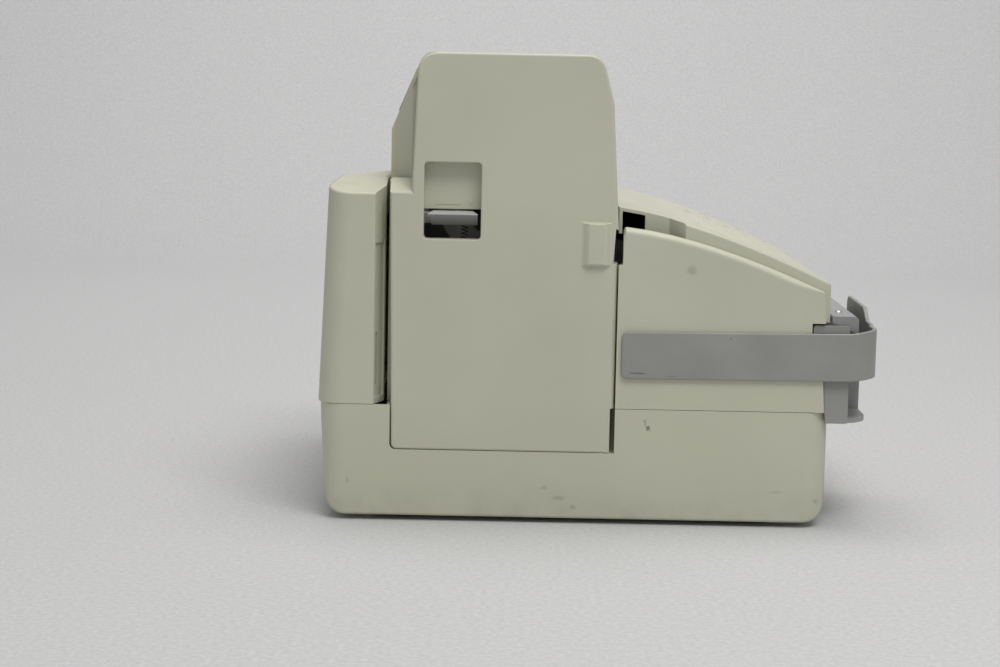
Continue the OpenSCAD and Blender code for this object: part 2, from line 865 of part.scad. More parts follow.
module platen_rubber() {
    color("#2c2c2c")
        difference() {
            bar_y(platen_x, platen_z, -150, -74, platen_r);
            bar_y(platen_x, platen_z, -151, -73, 4);
        }
}

module platen_gear() {
    color("#e6e3d4")
        difference() {
            gear(platen_x, platen_z, plate_y - 8, plate_y - 2, platen_teeth,
                180 / platen_teeth + idler_angle);
            bar_y(platen_x, platen_z, plate_y - 9, plate_y, 4);
        }
}

module idler_gear() {
    color("#d9d6c6")
        difference() {
            gear(idler_x, idler_z, plate_y - 8, plate_y - 2, idler_teeth, idler_angle + 180);
            bar_y(idler_x, idler_z, plate_y - 9, plate_y, 3 + fit);
        }
}

module drive_motor() {
    color("#54585b")
        difference() {
            union() {
                block([motor_x - 21, plate_y + plate_t, motor_z - 21], [motor_x + 21, -27, motor_z + 21]);
                bar_y(motor_x, motor_z, plate_y - 0.6, plate_y + 2, 10.8);
            }
            bar_y(motor_x, motor_z, plate_y - 2, plate_y + 22, 2.5 + fit);
        }
}

module motor_pinion() {
    // the idler's teeth sit half a pitch off where it meets the pinion
    idler_phase = idler_angle + 180;
    mesh = (180 - idler_phase) * idler_teeth / pinion_teeth;
    color("#b08d3c") {
        gear(motor_x, motor_z, plate_y - 8, plate_y - 2, pinion_teeth, 180 / pinion_teeth + mesh);
        bar_y(motor_x, motor_z, plate_y - 10, plate_y + 20, 2.5);
    }
}

module head_pivot_pin() {
    color("#c6c9cc")
        bar_y(head_pivot_x, head_pivot_z, -160, plate_y + plate_t, 3);
}

module head_bracket() {
    ear = [[head_pivot_x - 7, head_pivot_z - 6, 3], [head_pivot_x - 7, head_pivot_z + 6, 5],
        [head_pivot_x + 8, head_pivot_z + 6, 5], [202, 160, 3], [206, 153.2], [178, 153.2]];
    color("#a7abae")
        difference() {
            union() {
                for (y = [-152, -72])
                    along_y(rounded(ear), y, y + 2);
                block([178, -150.1, 153.2], [206, -71.9, 155.2]);
                block([126, -150.1, 172.2], [132.8, -71.9, 174.2]);
            }
            bar_y(head_pivot_x, head_pivot_z, -160, -60, 3 + fit);
        }
}

module print_head() {
    color("#54585b")
        block([182, -149, 148.6], [204, -75, 153.2]);
    color("#e8e6dd")
        block([184, -147, 145.3], [203, -77, 148.6]);
}

module head_lever() {
    arm = [[lever_x - 1, lever_z + 7.2, 3], [lever_x + 7.2, lever_z + 7.2, 5],
        [lever_x + 7.2, lever_z - 7.2, 5], [lever_x - 5, lever_z - 7.2, 3],
        [0, 200, 3], [-14, 204, 4], [-14, 211, 3], [0, 209, 3]];
    color("#5a86a0")
        difference() {
            union() {
                along_y(rounded(arm), -142, -139);
                bar_y(lever_x, lever_z, -139, -84, 7.2);
                block([-13.4, -146, 204.4], [-2, -124, 208.4]);
            }
            bar_y(lever_x, lever_z, -160, -60, 3 + fit);
        }
}

// ---- electronics and load cell ----

module main_board() {
    color("#2f6b46")
        difference() {
            block([-52, -142, 20], [112, -28, 21.6]);
            for (p = BOARD_POSTS)
                translate([p[0], p[1], 10])
                    cylinder(r = 1.6, h = 20);
        }
    color("#26292b") {
        block([-10, -100, 21.6], [14, -76, 24]);
        block([40, -110, 21.6], [58, -92, 24]);
        for (i = [0:3])
            block([70 + 10 * i, -60, 21.6], [77 + 10 * i, -46, 23]);
    }
}

module power_supply() {
    color("#a7abae")
        difference() {
            block([-210, -150, 8], [-100, -66, 48]);
            for (i = [0:8])
                block([-200 + 11 * i, -140, 46], [-196 + 11 * i, -76, 50]);
        }
}

module load_cell() {
    middle_z = cell_z + cell_h / 2;
    color("#b9bdc0")
        difference() {
            block([cell_x - cell_l / 2, platter_y - cell_w / 2, cell_z],
                [cell_x + cell_l / 2, platter_y + cell_w / 2, cell_z + cell_h]);
            for (dx = [-16, 16])
                bar_y(cell_x + dx, middle_z, platter_y - 30, platter_y + 30, 9);
            block([cell_x - 16, platter_y - 30, middle_z - 3], [cell_x + 16, platter_y + 30, middle_z + 3]);
        }
}

// The post under the fixed end of the load cell, and the riser on its free end.
module cell_blocks() {
    color("#8f9396") {
        block([cell_x - 72, platter_y - 20, 7.2], [cell_x - 38, platter_y + 20, cell_z]);
        block([cell_x - 24, 56, cell_z + cell_h + 2], [cell_x + 24, 104, 212]);
        block([cell_x + 40, platter_y - 14, cell_z + cell_h],
            [cell_x + 74, platter_y + 14, cell_z + cell_h + 4]);
        block([cell_x - 24, platter_y - 14, cell_z + cell_h + 4],
            [cell_x + 74, platter_y + 14, cell_z + cell_h + 8]);
    }
}

module platter_spider() {
    reach = norm([pad_x, pad_y]) + 9;
    color("#b9bdc0")
        translate([platter_x, platter_y, 212])
            linear_extrude(5) {
                for (s = [-1, 1])
                    rotate(s * atan(pad_y / pad_x))
                        square([2 * reach, 18], center = true);
                circle(r = 30);
            }
}

module platter_pads() {
    color("#2c2c2c")
        for (dx = [-pad_x, pad_x], dy = [-pad_y, pad_y])
            translate([platter_x + dx, platter_y + dy, 217])
                cylinder(r = 7, h = platter_top - 1.5 - 217);
}

module platter() {
    low = [platter_x - platter_l / 2, platter_y - platter_w / 2, platter_top - 14];
    high = [platter_x + platter_l / 2, platter_y + platter_w / 2, platter_top];
    color("#c9ccce")
        difference() {
            rounded_column(low, high, 14);
            rounded_column(low + [1.2, 1.2, -1], high - [1.2, 1.2, 1.2], 12.8);
        }
}

module rear_sockets() {
    color("#26292b") {
        difference() {
            block([-229.2, -165, 117], [-200, -140, 145]);
            block([-231, -162, 121], [-212, -143, 141]);
        }
        difference() {
            block([-229.2, -138, 119], [-212, -122, 133]);
            block([-231, -136, 121], [-216, -124, 131]);
        }
        difference() {
            block([-229.2, -120, 119], [-212, -107, 133]);
            block([-231, -118, 121], [-216, -109, 131]);
        }
    }
    color("#d8c88a")
        for (y = [-157, -152.5, -148])
            block([-220, y - 1, 129], [-212, y + 1, 133]);
    // housing and pivot of the rocker
    color("#26292b") {
        difference() {
            block([-229.2, -95.7, 116.3], [-206, -72.3, 141.7]);
            block([-231, -94.4, 119], [-212, -73.6, 139]);
        }
        bar_y(rocker_x, rocker_z, -95, -73, 1.5);
    }
}

module power_switch() {
    color("#26292b")
        difference() {
            bar_y(rocker_x, rocker_z, -94, -74, 9);
            block([-240, -100, 110], [rocker_x - 5.6, -70, 150]);
            block([rocker_x + 4, -100, 110], [-200, -70, 150]);
            translate([rocker_x - 5.6, -100, rocker_z])
                rotate([0, rocker_tilt, 0])
                    block([-6, 0, 0], [0, 40, 14]);
            bar_y(rocker_x, rocker_z, -100, -70, 1.5 + fit);
        }
}

base_tray();
tower_body();
column_cover();
front_panel();
console_cover();
deck_cover();
levelling_foot(FOOT_SPOTS[0]);  // levelling_foot_1
levelling_foot(FOOT_SPOTS[1]);  // levelling_foot_2
levelling_foot(FOOT_SPOTS[2]);  // levelling_foot_3
levelling_foot(FOOT_SPOTS[3]);  // levelling_foot_4
door_shell();
hinge_bracket();
hinge_pins();
latch_handle();
latch_spring();
latch_keeper();
label_guard();
outlet_frame();
outlet_hood();
hood_rivets();
keypad_overlay();
keypad_board();
operator_window();
operator_display();
customer_window();
customer_display();
level_cup();
level_vial();
mechanism_plate();
plate_struts();
roll_spindle();
roll_hub();
label_core();
label_roll();
rewind_motor();
takeup_spool();
wound_liner();
guide_pins();
guide_roller(GUIDE_SPOTS[0]);  // guide_roller_rear
guide_roller(GUIDE_SPOTS[1]);  // guide_roller_front
label_sensor();
platen_shaft();
platen_rubber();
platen_gear();
idler_gear();
drive_motor();
motor_pinion();
head_pivot_pin();
head_bracket();
print_head();
head_lever();
main_board();
power_supply();
load_cell();
cell_blocks();
platter_spider();
platter_pads();
platter();
rear_sockets();
power_switch();
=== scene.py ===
import json
import math

import bmesh
import bpy
from mathutils import Matrix, Vector
from mathutils.bvhtree import BVHTree


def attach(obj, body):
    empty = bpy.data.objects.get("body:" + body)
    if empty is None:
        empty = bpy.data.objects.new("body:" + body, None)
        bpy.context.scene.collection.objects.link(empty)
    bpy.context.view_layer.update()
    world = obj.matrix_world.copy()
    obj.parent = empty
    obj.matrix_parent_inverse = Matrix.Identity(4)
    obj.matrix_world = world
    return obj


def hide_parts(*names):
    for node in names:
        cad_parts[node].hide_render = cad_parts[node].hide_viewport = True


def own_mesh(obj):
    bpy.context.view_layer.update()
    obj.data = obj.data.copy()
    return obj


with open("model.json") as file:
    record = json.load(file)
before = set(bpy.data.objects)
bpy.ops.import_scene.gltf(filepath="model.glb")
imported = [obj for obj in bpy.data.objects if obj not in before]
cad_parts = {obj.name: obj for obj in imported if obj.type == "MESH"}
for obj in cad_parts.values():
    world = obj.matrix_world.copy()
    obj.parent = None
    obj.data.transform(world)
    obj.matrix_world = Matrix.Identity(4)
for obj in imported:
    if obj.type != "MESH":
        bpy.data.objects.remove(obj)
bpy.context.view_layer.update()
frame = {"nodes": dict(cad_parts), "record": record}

MM = 0.001
NEAR_Y = -0.190          # the flat side with the label door
SHARP_DEG = 36           # edges steeper than this are rounded
SMOOTH_DEG = 42          # edges steeper than this stay sharp when shaded

# ---- camera and light ----

CAMERA_AT = (-0.081, -2.014, 0.388)
CAMERA_PITCH = 7.194     # degrees below level
CAMERA_ROLL = 0.020      # radians about the view axis
CAMERA_LENS = 80.7


def make_camera():
    camera = bpy.data.objects.new("camera", bpy.data.cameras.new("camera"))
    bpy.context.scene.collection.objects.link(camera)
    camera.data.lens = CAMERA_LENS
    camera.data.sensor_width = 36
    camera.data.clip_end = 50
    camera.location = CAMERA_AT
    camera.rotation_euler = (math.radians(90 - CAMERA_PITCH), 0, 0)
    camera.rotation_euler.rotate_axis("Z", CAMERA_ROLL)
    bpy.context.scene.camera = camera


def area_light(name, place, target, size, power, colour):
    light = bpy.data.lights.new(name, "AREA")
    light.shape = "RECTANGLE"
    light.size, light.size_y = size
    light.energy = power
    light.color = colour
    lamp = bpy.data.objects.new(name, light)
    bpy.context.scene.collection.objects.link(lamp)
    lamp.location = place
    lamp.rotation_euler = (Vector(target) - Vector(place)).to_track_quat("-Z", "Y").to_euler()


# name, place, target, size in metres, watts, colour
LAMPS = [
    ("key", (0.45, -1.4, 2.1), (0, -0.1, 0.15), (1.3, 0.9), 24, (1.0, 0.99, 0.965)),
    ("overhead", (0.1, 0.15, 2.4), (0, 0, 0.1), (1.8, 1.1), 25, (1.0, 0.98, 0.95)),
    ("backdrop_wash", (0, 1.6, 2.2), (0, 3.2, 0.7), (3.0, 0.6), 26, (1.0, 0.98, 0.96)),
]
WORLD_COLOUR = (0.80, 0.81, 0.82, 1)
WORLD_STRENGTH = 0.47


def make_light():
    for lamp in LAMPS:
        area_light(*lamp)
    world = bpy.data.worlds.new("studio")
    world.use_nodes = True
    background = world.node_tree.nodes["Background"]
    background.inputs["Color"].default_value = WORLD_COLOUR
    background.inputs["Strength"].default_value = WORLD_STRENGTH
    bpy.context.scene.world = world
    bpy.context.scene.view_settings.view_transform = "Standard"


make_camera()
make_light()

# ---- material nodes ----


class Surface:
    """One material's node tree, with short calls for the nodes that the finishes share."""

    def __init__(self, name):
        self.material = bpy.data.materials.new(name)
        self.material.use_nodes = True
        self.tree = self.material.node_tree
        self.tree.nodes.clear()
        self.place = self.add("ShaderNodeTexCoord").outputs["Object"]

    def add(self, kind, values=None, **settings):
        node = self.tree.nodes.new(kind)
        for name, value in settings.items():
            setattr(node, name, value)
        for socket, value in (values or {}).items():
            self.feed(node.inputs[socket], value)
        return node

    def feed(self, socket, value):
        if isinstance(value, bpy.types.NodeSocket):
            self.tree.links.new(value, socket)
        else:
            socket.default_value = value

    def scaled(self, stretch, shift=(0, 0, 0)):
        """The object's place, stretched and moved, as texture coordinates."""
        values = {"Vector": self.place, "Scale": stretch, "Location": shift}
        return self.add("ShaderNodeMapping", values).outputs["Vector"]

    def noise(self, scale, detail=3.0, rough=0.5, stretch=(1, 1, 1), shift=(0, 0, 0)):
        values = {"Vector": self.scaled(stretch, shift), "Scale": scale, "Detail": detail, "Roughness": rough}
        return self.add("ShaderNodeTexNoise", values).outputs["Fac"]

    def cells(self, scale, output="Distance", stretch=(1, 1, 1), feature="F1"):
        values = {"Vector": self.scaled(stretch), "Scale": scale}
        return self.add("ShaderNodeTexVoronoi", values, feature=feature).outputs[output]

    def span(self, value, low, high, to_low=0.0, to_high=1.0):
        """Maps low..high to to_low..to_high, clamped."""
        values = {"Value": value, "From Min": low, "From Max": high, "To Min": to_low, "To Max": to_high}
        return self.add("ShaderNodeMapRange", values).outputs["Result"]

    def maths(self, operation, first, second=0.0):
        node = self.add("ShaderNodeMath", {0: first, 1: second}, operation=operation)
        return node.outputs["Value"]

    def blend(self, amount, first, second):
        """Goes from colour first to colour second as amount goes from 0 to 1."""
        node = self.add("ShaderNodeMix", data_type="RGBA")
        self.feed(node.inputs["Factor"], amount)
        self.feed(node.inputs[6], first)
        self.feed(node.inputs[7], second)
        return node.outputs[2]

    def bump(self, height, depth, below=None):
        """A bump of that depth in metres, on top of another one."""
        values = {"Height": height, "Strength": 1.0, "Distance": depth}
        if below is not None:
            values["Normal"] = below
        return self.add("ShaderNodeBump", values).outputs["Normal"]

    def axis(self, name):
        return self.add("ShaderNodeSeparateXYZ", {"Vector": self.place}).outputs[name]

    def spot(self, centre, half, ragged=0.5):
        """1 inside a ragged ellipsoid at centre, 0 outside it."""
        offset = self.add("ShaderNodeVectorMath", {0: self.place, 1: centre}, operation="SUBTRACT")
        sized = self.add("ShaderNodeVectorMath", {0: offset.outputs[0], 1: half}, operation="DIVIDE")
        length = self.add("ShaderNodeVectorMath", {0: sized.outputs[0]}, operation="LENGTH").outputs["Value"]
        torn = self.maths("ADD", length, self.span(self.noise(900, 3), 0.3, 0.7, -ragged, ragged))
        return self.span(torn, 1.0, 0.55)

    def shader(self, colour, roughness, normal=None, **sockets):
        values = {"Base Color": colour, "Roughness": roughness}
        if normal is not None:
            values["Normal"] = normal
        values.update({name.replace("_", " "): value for name, value in sockets.items()})
        node = self.add("ShaderNodeBsdfPrincipled", values)
        output = self.add("ShaderNodeOutputMaterial")
        self.tree.links.new(node.outputs["BSDF"], output.inputs["Surface"])
        return self.material


def shade(colour, factor):
    """The same colour, lighter or darker."""
    return (colour[0] * factor, colour[1] * factor, colour[2] * factor, 1)


# ---- finishes ----

PUTTY = (0.545, 0.545, 0.437, 1)
KEYPAD_PUTTY = (0.570, 0.560, 0.455, 1)
GUARD_GREY = (0.300, 0.304, 0.285, 1)
LATCH_GREY = (0.250, 0.252, 0.238, 1)
FOOT_BEIGE = (0.560, 0.500, 0.385, 1)
CHARCOAL = (0.030, 0.031, 0.032, 1)

# dark rubs on the housing: centre and half size in metres, and how dark
HOUSING_RUBS = [
    ((0.0425, NEAR_Y, 0.0815), (0.0022, 0.004, 0.0026), 0.75),
    ((0.0400, NEAR_Y, 0.0865), (0.0012, 0.004, 0.0034), 0.40),
    ((0.0748, NEAR_Y, 0.2128), (0.0048, 0.004, 0.0046), 0.26),
    ((0.1860, NEAR_Y, 0.0220), (0.0065, 0.006, 0.0030), 0.35),
    ((0.1500, NEAR_Y, 0.0300), (0.0060, 0.004, 0.0012), 0.18),
    ((-0.0300, NEAR_Y, 0.0215), (0.0060, 0.004, 0.0022), 0.28),
    ((-0.0420, NEAR_Y, 0.0300), (0.0035, 0.004, 0.0018), 0.22),
    ((-0.0180, NEAR_Y, 0.0140), (0.0030, 0.004, 0.0022), 0.30),
    ((-0.2050, NEAR_Y, 0.0330), (0.0012, 0.004, 0.0030), 0.25),
    ((0.0870, 0.1945, 0.0610), (0.0120, 0.004, 0.0012), 0.45),
    ((-0.2250, 0.0400, 0.0620), (0.0050, 0.0140, 0.0016), 0.45),
]
GUARD_RUBS = [
    ((0.0330, -0.1935, 0.1276), (0.0085, 0.003, 0.0008), 0.55),
    ((0.1080, -0.1935, 0.1575), (0.0012, 0.003, 0.0010), 0.35),
    ((0.0600, -0.1935, 0.1255), (0.0060, 0.003, 0.0005), 0.30),
]


def rubbed(s, tone, colour, rubs):
    """The tone with dark rubs on it."""
    for centre, half, strength in rubs:
        tone = s.blend(s.maths("MULTIPLY", s.spot(centre, half), strength), tone, shade(colour, 0.17))
    return tone


def housing_finish(name, colour):
    s = Surface(name)
    drift = s.span(s.noise(7, 3, 0.55), 0.32, 0.68)
    tone = s.blend(drift, shade(colour, 0.955), shade(colour, 1.03))
    yellow = s.span(s.noise(3.2, 2, 0.5, shift=(4, 1, 2)), 0.45, 0.75, 0.0, 0.35)
    tone = s.blend(yellow, tone, (colour[0] * 1.0, colour[1] * 0.985, colour[2] * 0.90, 1))
    specks = s.span(s.cells(95), 0.052, 0.030, 0.0, 1.0)
    chosen = s.span(s.noise(16, 1), 0.60, 0.64)
    tone = s.blend(s.maths("MULTIPLY", specks, s.maths("MULTIPLY", chosen, 0.5)), tone, shade(colour, 0.34))
    low = s.maths("MULTIPLY", s.span(s.axis("Z"), 0.034, 0.004), s.span(s.noise(24, 4, 0.6), 0.40, 0.72))
    tone = s.blend(s.maths("MULTIPLY", low, 0.42), tone, shade(colour, 0.46))
    tone = rubbed(s, tone, colour, HOUSING_RUBS)
    grain = s.bump(s.noise(1500, 2, 0.6), 0.00005)
    ripple = s.bump(s.noise(11, 2, 0.4), 0.00022, grain)
    rough = s.span(s.noise(60, 4, 0.6), 0.3, 0.7, 0.36, 0.46)
    return s.shader(tone, rough, ripple, Specular_IOR_Level=0.46)


def moulded_finish(name, colour, roughness, grain=1300, wear=1.25, rubs=()):
    """Plain moulded plastic: fine grain, slow drift of tone, pale rubbed streaks."""
    s = Surface(name)
    drift = s.span(s.noise(22, 3), 0.32, 0.68)
    tone = s.blend(drift, shade(colour, 0.93), shade(colour, 1.06))
    streak = s.span(s.noise(48, 4, 0.65, stretch=(1, 1, 5)), 0.62, 0.72, 0.0, 0.35)
    tone = rubbed(s, s.blend(streak, tone, shade(colour, wear)), colour, rubs)
    normal = s.bump(s.noise(grain, 2, 0.6), 0.00006)
    rough = s.span(s.noise(90, 3), 0.3, 0.7, roughness - 0.06, roughness + 0.07)
    return s.shader(tone, rough, normal, Specular_IOR_Level=0.45)


HANDLE_LOW, HANDLE_LIP = 0.2458, 0.2544    # heights between which the latch handle's tone is graded


def handle_finish(name):
    """Grey moulded plastic; the shading of its front, dark low down and pale on the lip, is painted in."""
    s = Surface(name)
    front = s.span(s.axis("Z"), HANDLE_LOW, HANDLE_LIP)
    tone = s.blend(front, shade(LATCH_GREY, 0.42), shade(LATCH_GREY, 1.05))
    lip = s.span(s.axis("Z"), HANDLE_LIP - 0.0002, HANDLE_LIP + 0.0004)
    tone = s.blend(lip, tone, shade(LATCH_GREY, 2.1))
    tone = s.blend(s.span(s.noise(140, 4, 0.6), 0.56, 0.74, 0.0, 0.3), tone, shade(LATCH_GREY, 0.7))
    normal = s.bump(s.noise(1300, 2, 0.6), 0.00006)
    return s.shader(tone, s.span(s.noise(90, 3), 0.3, 0.7, 0.34, 0.47), normal, Specular_IOR_Level=0.45)


def paint_finish(name, colour, roughness):
    """Enamel on metal: orange peel and a few worn specks."""
    s = Surface(name)
    tone = s.blend(s.span(s.noise(30, 3), 0.3, 0.7), shade(colour, 0.94), shade(colour, 1.05))
    chips = s.span(s.cells(260), 0.07, 0.03)
    chips = s.maths("MULTIPLY", chips, s.span(s.noise(40, 2), 0.60, 0.63))
    tone = s.blend(chips, tone, shade(colour, 1.9))
    normal = s.bump(s.noise(520, 2, 0.5), 0.00006)
    rough = s.span(s.noise(110, 3), 0.3, 0.7, roughness - 0.05, roughness + 0.08)
    return s.shader(tone, rough, normal, Specular_IOR_Level=0.5, Coat_Weight=0.15, Coat_Roughness=0.3)


def brushed_finish(name, colour, roughness, stretch, depth=0.00003):
    """Metal with fine lines along one direction, and faint smears."""
    s = Surface(name)
    lines = s.noise(900, 3, 0.7, stretch=stretch)
    smear = s.span(s.noise(14, 4, 0.6), 0.35, 0.7)
    tone = s.blend(s.span(lines, 0.3, 0.7), shade(colour, 0.90), shade(colour, 1.06))
    tone = s.blend(s.maths("MULTIPLY", smear, 0.25), tone, shade(colour, 0.82))
    rough = s.maths("ADD", s.span(lines, 0.25, 0.75, roughness - 0.06, roughness + 0.06),
                    s.maths("MULTIPLY", smear, 0.08))
    normal = s.bump(lines, depth)
    return s.shader(tone, rough, normal, Metallic=1.0)


def spangle_finish(name, colour, roughness):
    """Zinc-coated sheet, with its crystal pattern."""
    s = Surface(name)
    crystal = s.add("ShaderNodeSeparateColor", {"Color": s.cells(120, "Color")}).outputs["Red"]
    tone = s.blend(crystal, shade(colour, 0.84), shade(colour, 1.08))
    rough = s.span(crystal, 0, 1, roughness - 0.07, roughness + 0.10)
    normal = s.bump(s.noise(700, 3), 0.00003)
    return s.shader(tone, rough, normal, Metallic=1.0)


def rubber_finish(name):
    s = Surface(name)
    dust = s.span(s.noise(70, 4, 0.65), 0.45, 0.8, 0.0, 0.4)
    tone = s.blend(dust, (0.018, 0.018, 0.019, 1), (0.075, 0.074, 0.072, 1))
    normal = s.bump(s.noise(1700, 2), 0.00007)
    return s.shader(tone, s.span(s.noise(120), 0.3, 0.7, 0.72, 0.88), normal, Specular_IOR_Level=0.3)


def from_axis(s, centre_x, centre_z):
    """Distance from an axis along Y."""
    flat = s.add("ShaderNodeVectorMath", {0: s.place, 1: (centre_x, 0, centre_z)}, operation="SUBTRACT")
    plane = s.add("ShaderNodeVectorMath", {0: flat.outputs[0], 1: (1, 0, 1)}, operation="MULTIPLY")
    return s.add("ShaderNodeVectorMath", {0: plane.outputs[0]}, operation="LENGTH").outputs["Value"]


def around_axis(s, centre_x, centre_z):
    """Angle about an axis along Y, in radians."""
    x = s.maths("SUBTRACT", s.axis("X"), centre_x)
    z = s.maths("SUBTRACT", s.axis("Z"), centre_z)
    return s.maths("ARCTAN2", z, x)


ROLL_AXIS = (-0.080, 0.266)
TAKEUP_AXIS = (-0.096, 0.142)
LABEL_EDGES = (-0.139, -0.081)    # the labels' sides on the web
ROLL_RADIUS = 0.056
LABEL_PITCH = 0.043


def paper_finish(name, colour, axis, winding=0.00045):
    """Paper wound on an axis, whose layers show on the sides of the roll."""
    s = Surface(name)
    radius = from_axis(s, *axis)
    layer = s.maths("FRACT", s.maths("DIVIDE", radius, winding))
    fibre = s.noise(420, 4, 0.6)
    tone = s.blend(s.span(layer, 0.0, 0.35), shade(colour, 0.80), shade(colour, 1.0))
    tone = s.blend(s.span(fibre, 0.35, 0.7, 0, 0.25), tone, shade(colour, 0.90))
    height = s.maths("ADD", s.maths("MULTIPLY", layer, 0.6), s.maths("MULTIPLY", fibre, 0.4))
    normal = s.bump(height, 0.00004)
    return s.shader(tone, s.span(fibre, 0.3, 0.7, 0.52, 0.70), normal, Specular_IOR_Level=0.35)


def label_roll_finish(name):
    """White labels with gaps between them, on a yellowish carrier."""
    s = Surface(name)
    radius = from_axis(s, *ROLL_AXIS)
    layer = s.maths("FRACT", s.maths("DIVIDE", radius, 0.0004))
    along = s.maths("MULTIPLY", around_axis(s, *ROLL_AXIS), ROLL_RADIUS / LABEL_PITCH)
    gap = s.span(s.maths("FRACT", along), 0.05, 0.045)
    y = s.axis("Y")
    gap = s.maths("MAXIMUM", gap, s.span(y, LABEL_EDGES[0], LABEL_EDGES[0] - 0.0004))
    gap = s.maths("MAXIMUM", gap, s.span(y, LABEL_EDGES[1], LABEL_EDGES[1] + 0.0004))
    fibre = s.noise(500, 4, 0.6)
    paper = s.blend(s.span(fibre, 0.35, 0.7), (0.83, 0.82, 0.78, 1), (0.88, 0.87, 0.84, 1))
    carrier = s.blend(s.span(fibre, 0.35, 0.7), (0.60, 0.53, 0.33, 1), (0.68, 0.61, 0.40, 1))
    tone = s.blend(gap, paper, carrier)
    side = s.span(radius, ROLL_RADIUS - 0.0003, ROLL_RADIUS - 0.0005)
    edges = s.blend(s.span(layer, 0.0, 0.4), (0.62, 0.56, 0.40, 1), (0.86, 0.85, 0.80, 1))
    tone = s.blend(side, tone, edges)
    normal = s.bump(s.maths("ADD", s.maths("MULTIPLY", layer, side), s.maths("MULTIPLY", gap, -1.0)), 0.00008)
    return s.shader(tone, s.span(fibre, 0.3, 0.7, 0.40, 0.55), normal)


def core_finish(name):
    """Spiral-wound grey-brown board."""
    s = Surface(name)
    turn = s.maths("DIVIDE", around_axis(s, *ROLL_AXIS), 2 * math.pi)
    seam = s.maths("FRACT", s.maths("ADD", turn, s.maths("MULTIPLY", s.axis("Y"), 32.0)))
    fibre = s.noise(300, 5, 0.7)
    tone = s.blend(s.span(fibre, 0.3, 0.7), (0.30, 0.20, 0.115, 1), (0.42, 0.30, 0.18, 1))
    tone = s.blend(s.span(seam, 0.035, 0.02), tone, (0.16, 0.10, 0.06, 1))
    return s.shader(tone, s.span(fibre, 0.3, 0.7, 0.7, 0.9), s.bump(fibre, 0.00008))


def board_finish(name):
    """Green solder mask over copper tracks."""
    s = Surface(name)
    tracks = s.add("ShaderNodeTexBrick", {
        "Vector": s.scaled((1, 1, 1)), "Scale": 95.0, "Mortar Size": 0.06, "Brick Width": 0.9,
        "Row Height": 0.22, "Color1": (0, 0, 0, 1), "Color2": (0.25, 0.25, 0.25, 1), "Mortar": (1, 1, 1, 1)})
    line = s.add("ShaderNodeSeparateColor", {"Color": tracks.outputs["Color"]}).outputs["Red"]
    pads = s.span(s.cells(170), 0.20, 0.16)
    pads = s.maths("MULTIPLY", pads, s.span(s.noise(45, 1), 0.50, 0.54))
    tone = s.blend(line, (0.018, 0.105, 0.050, 1), (0.035, 0.19, 0.085, 1))
    tone = s.blend(pads, tone, (0.62, 0.60, 0.55, 1))
    normal = s.bump(s.maths("MAXIMUM", line, pads), 0.00008)
    return s.shader(tone, s.span(pads, 0, 1, 0.30, 0.42), normal)


def sheet_finish(name, colour):
    """Printed polyester over the keys, with a fine emboss and finger wear."""
    s = Surface(name)
    wear = s.span(s.noise(26, 4, 0.6), 0.42, 0.70)
    tone = s.blend(wear, shade(colour, 1.01), shade(colour, 0.965))
    normal = s.bump(s.noise(1900, 2, 0.5), 0.00003)
    return s.shader(tone, s.span(wear, 0, 1, 0.50, 0.42), normal, Specular_IOR_Level=0.4)


def window_finish(name):
    """Tinted clear plastic with faint dust and wiping marks."""
    s = Surface(name)
    wipe = s.noise(60, 4, 0.6, stretch=(1, 4, 1))
    tone = s.blend(s.span(wipe, 0.3, 0.7), (0.62, 0.66, 0.67, 1), (0.70, 0.735, 0.74, 1))
    rough = s.span(wipe, 0.45, 0.75, 0.06, 0.22)
    normal = s.bump(s.noise(400, 2), 0.00001)
    return s.shader(tone, rough, normal, IOR=1.30, Transmission_Weight=0.95)


def crystal_finish(name):
    """The grey-green face of a liquid crystal module, with its pixel rows."""
    s = Surface(name)
    row = s.maths("FRACT", s.maths("MULTIPLY", s.axis("Z"), 900.0))
    column = s.maths("FRACT", s.maths("MULTIPLY", s.axis("Y"), 900.0))
    grid = s.maths("MAXIMUM", s.span(row, 0.16, 0.08), s.span(column, 0.16, 0.08))
    glow = s.span(s.noise(20, 2), 0.3, 0.7)
    tone = s.blend(glow, (0.300, 0.350, 0.240, 1), (0.350, 0.400, 0.280, 1))
    tone = s.blend(s.maths("MULTIPLY", grid, 0.25), tone, (0.10, 0.12, 0.08, 1))
    return s.shader(tone, s.span(grid, 0, 1, 0.22, 0.30), s.bump(grid, 0.00001))


VIAL_AXIS = (-0.107, 0.160)


def vial_finish(name):
    """Yellow-green fluid under clear plastic, with its bubble and centring ring."""
    s = Surface(name)
    x = s.maths("SUBTRACT", s.axis("X"), VIAL_AXIS[0])
    y = s.maths("SUBTRACT", s.axis("Y"), VIAL_AXIS[1])
    radius = s.maths("SQRT", s.maths("ADD", s.maths("MULTIPLY", x, x), s.maths("MULTIPLY", y, y)))
    ring = s.maths("MULTIPLY", s.span(radius, 0.0039, 0.0041), s.span(radius, 0.0046, 0.0044))
    bubble = s.span(radius, 0.0029, 0.0026)
    tone = s.blend(bubble, (0.45, 0.55, 0.07, 1), (0.85, 0.90, 0.55, 1))
    tone = s.blend(ring, tone, (0.02, 0.02, 0.02, 1))
    rough = s.span(s.noise(300, 2), 0.3, 0.7, 0.04, 0.12)
    return s.shader(tone, rough, s.bump(bubble, 0.0004), IOR=1.46, Transmission_Weight=0.25)


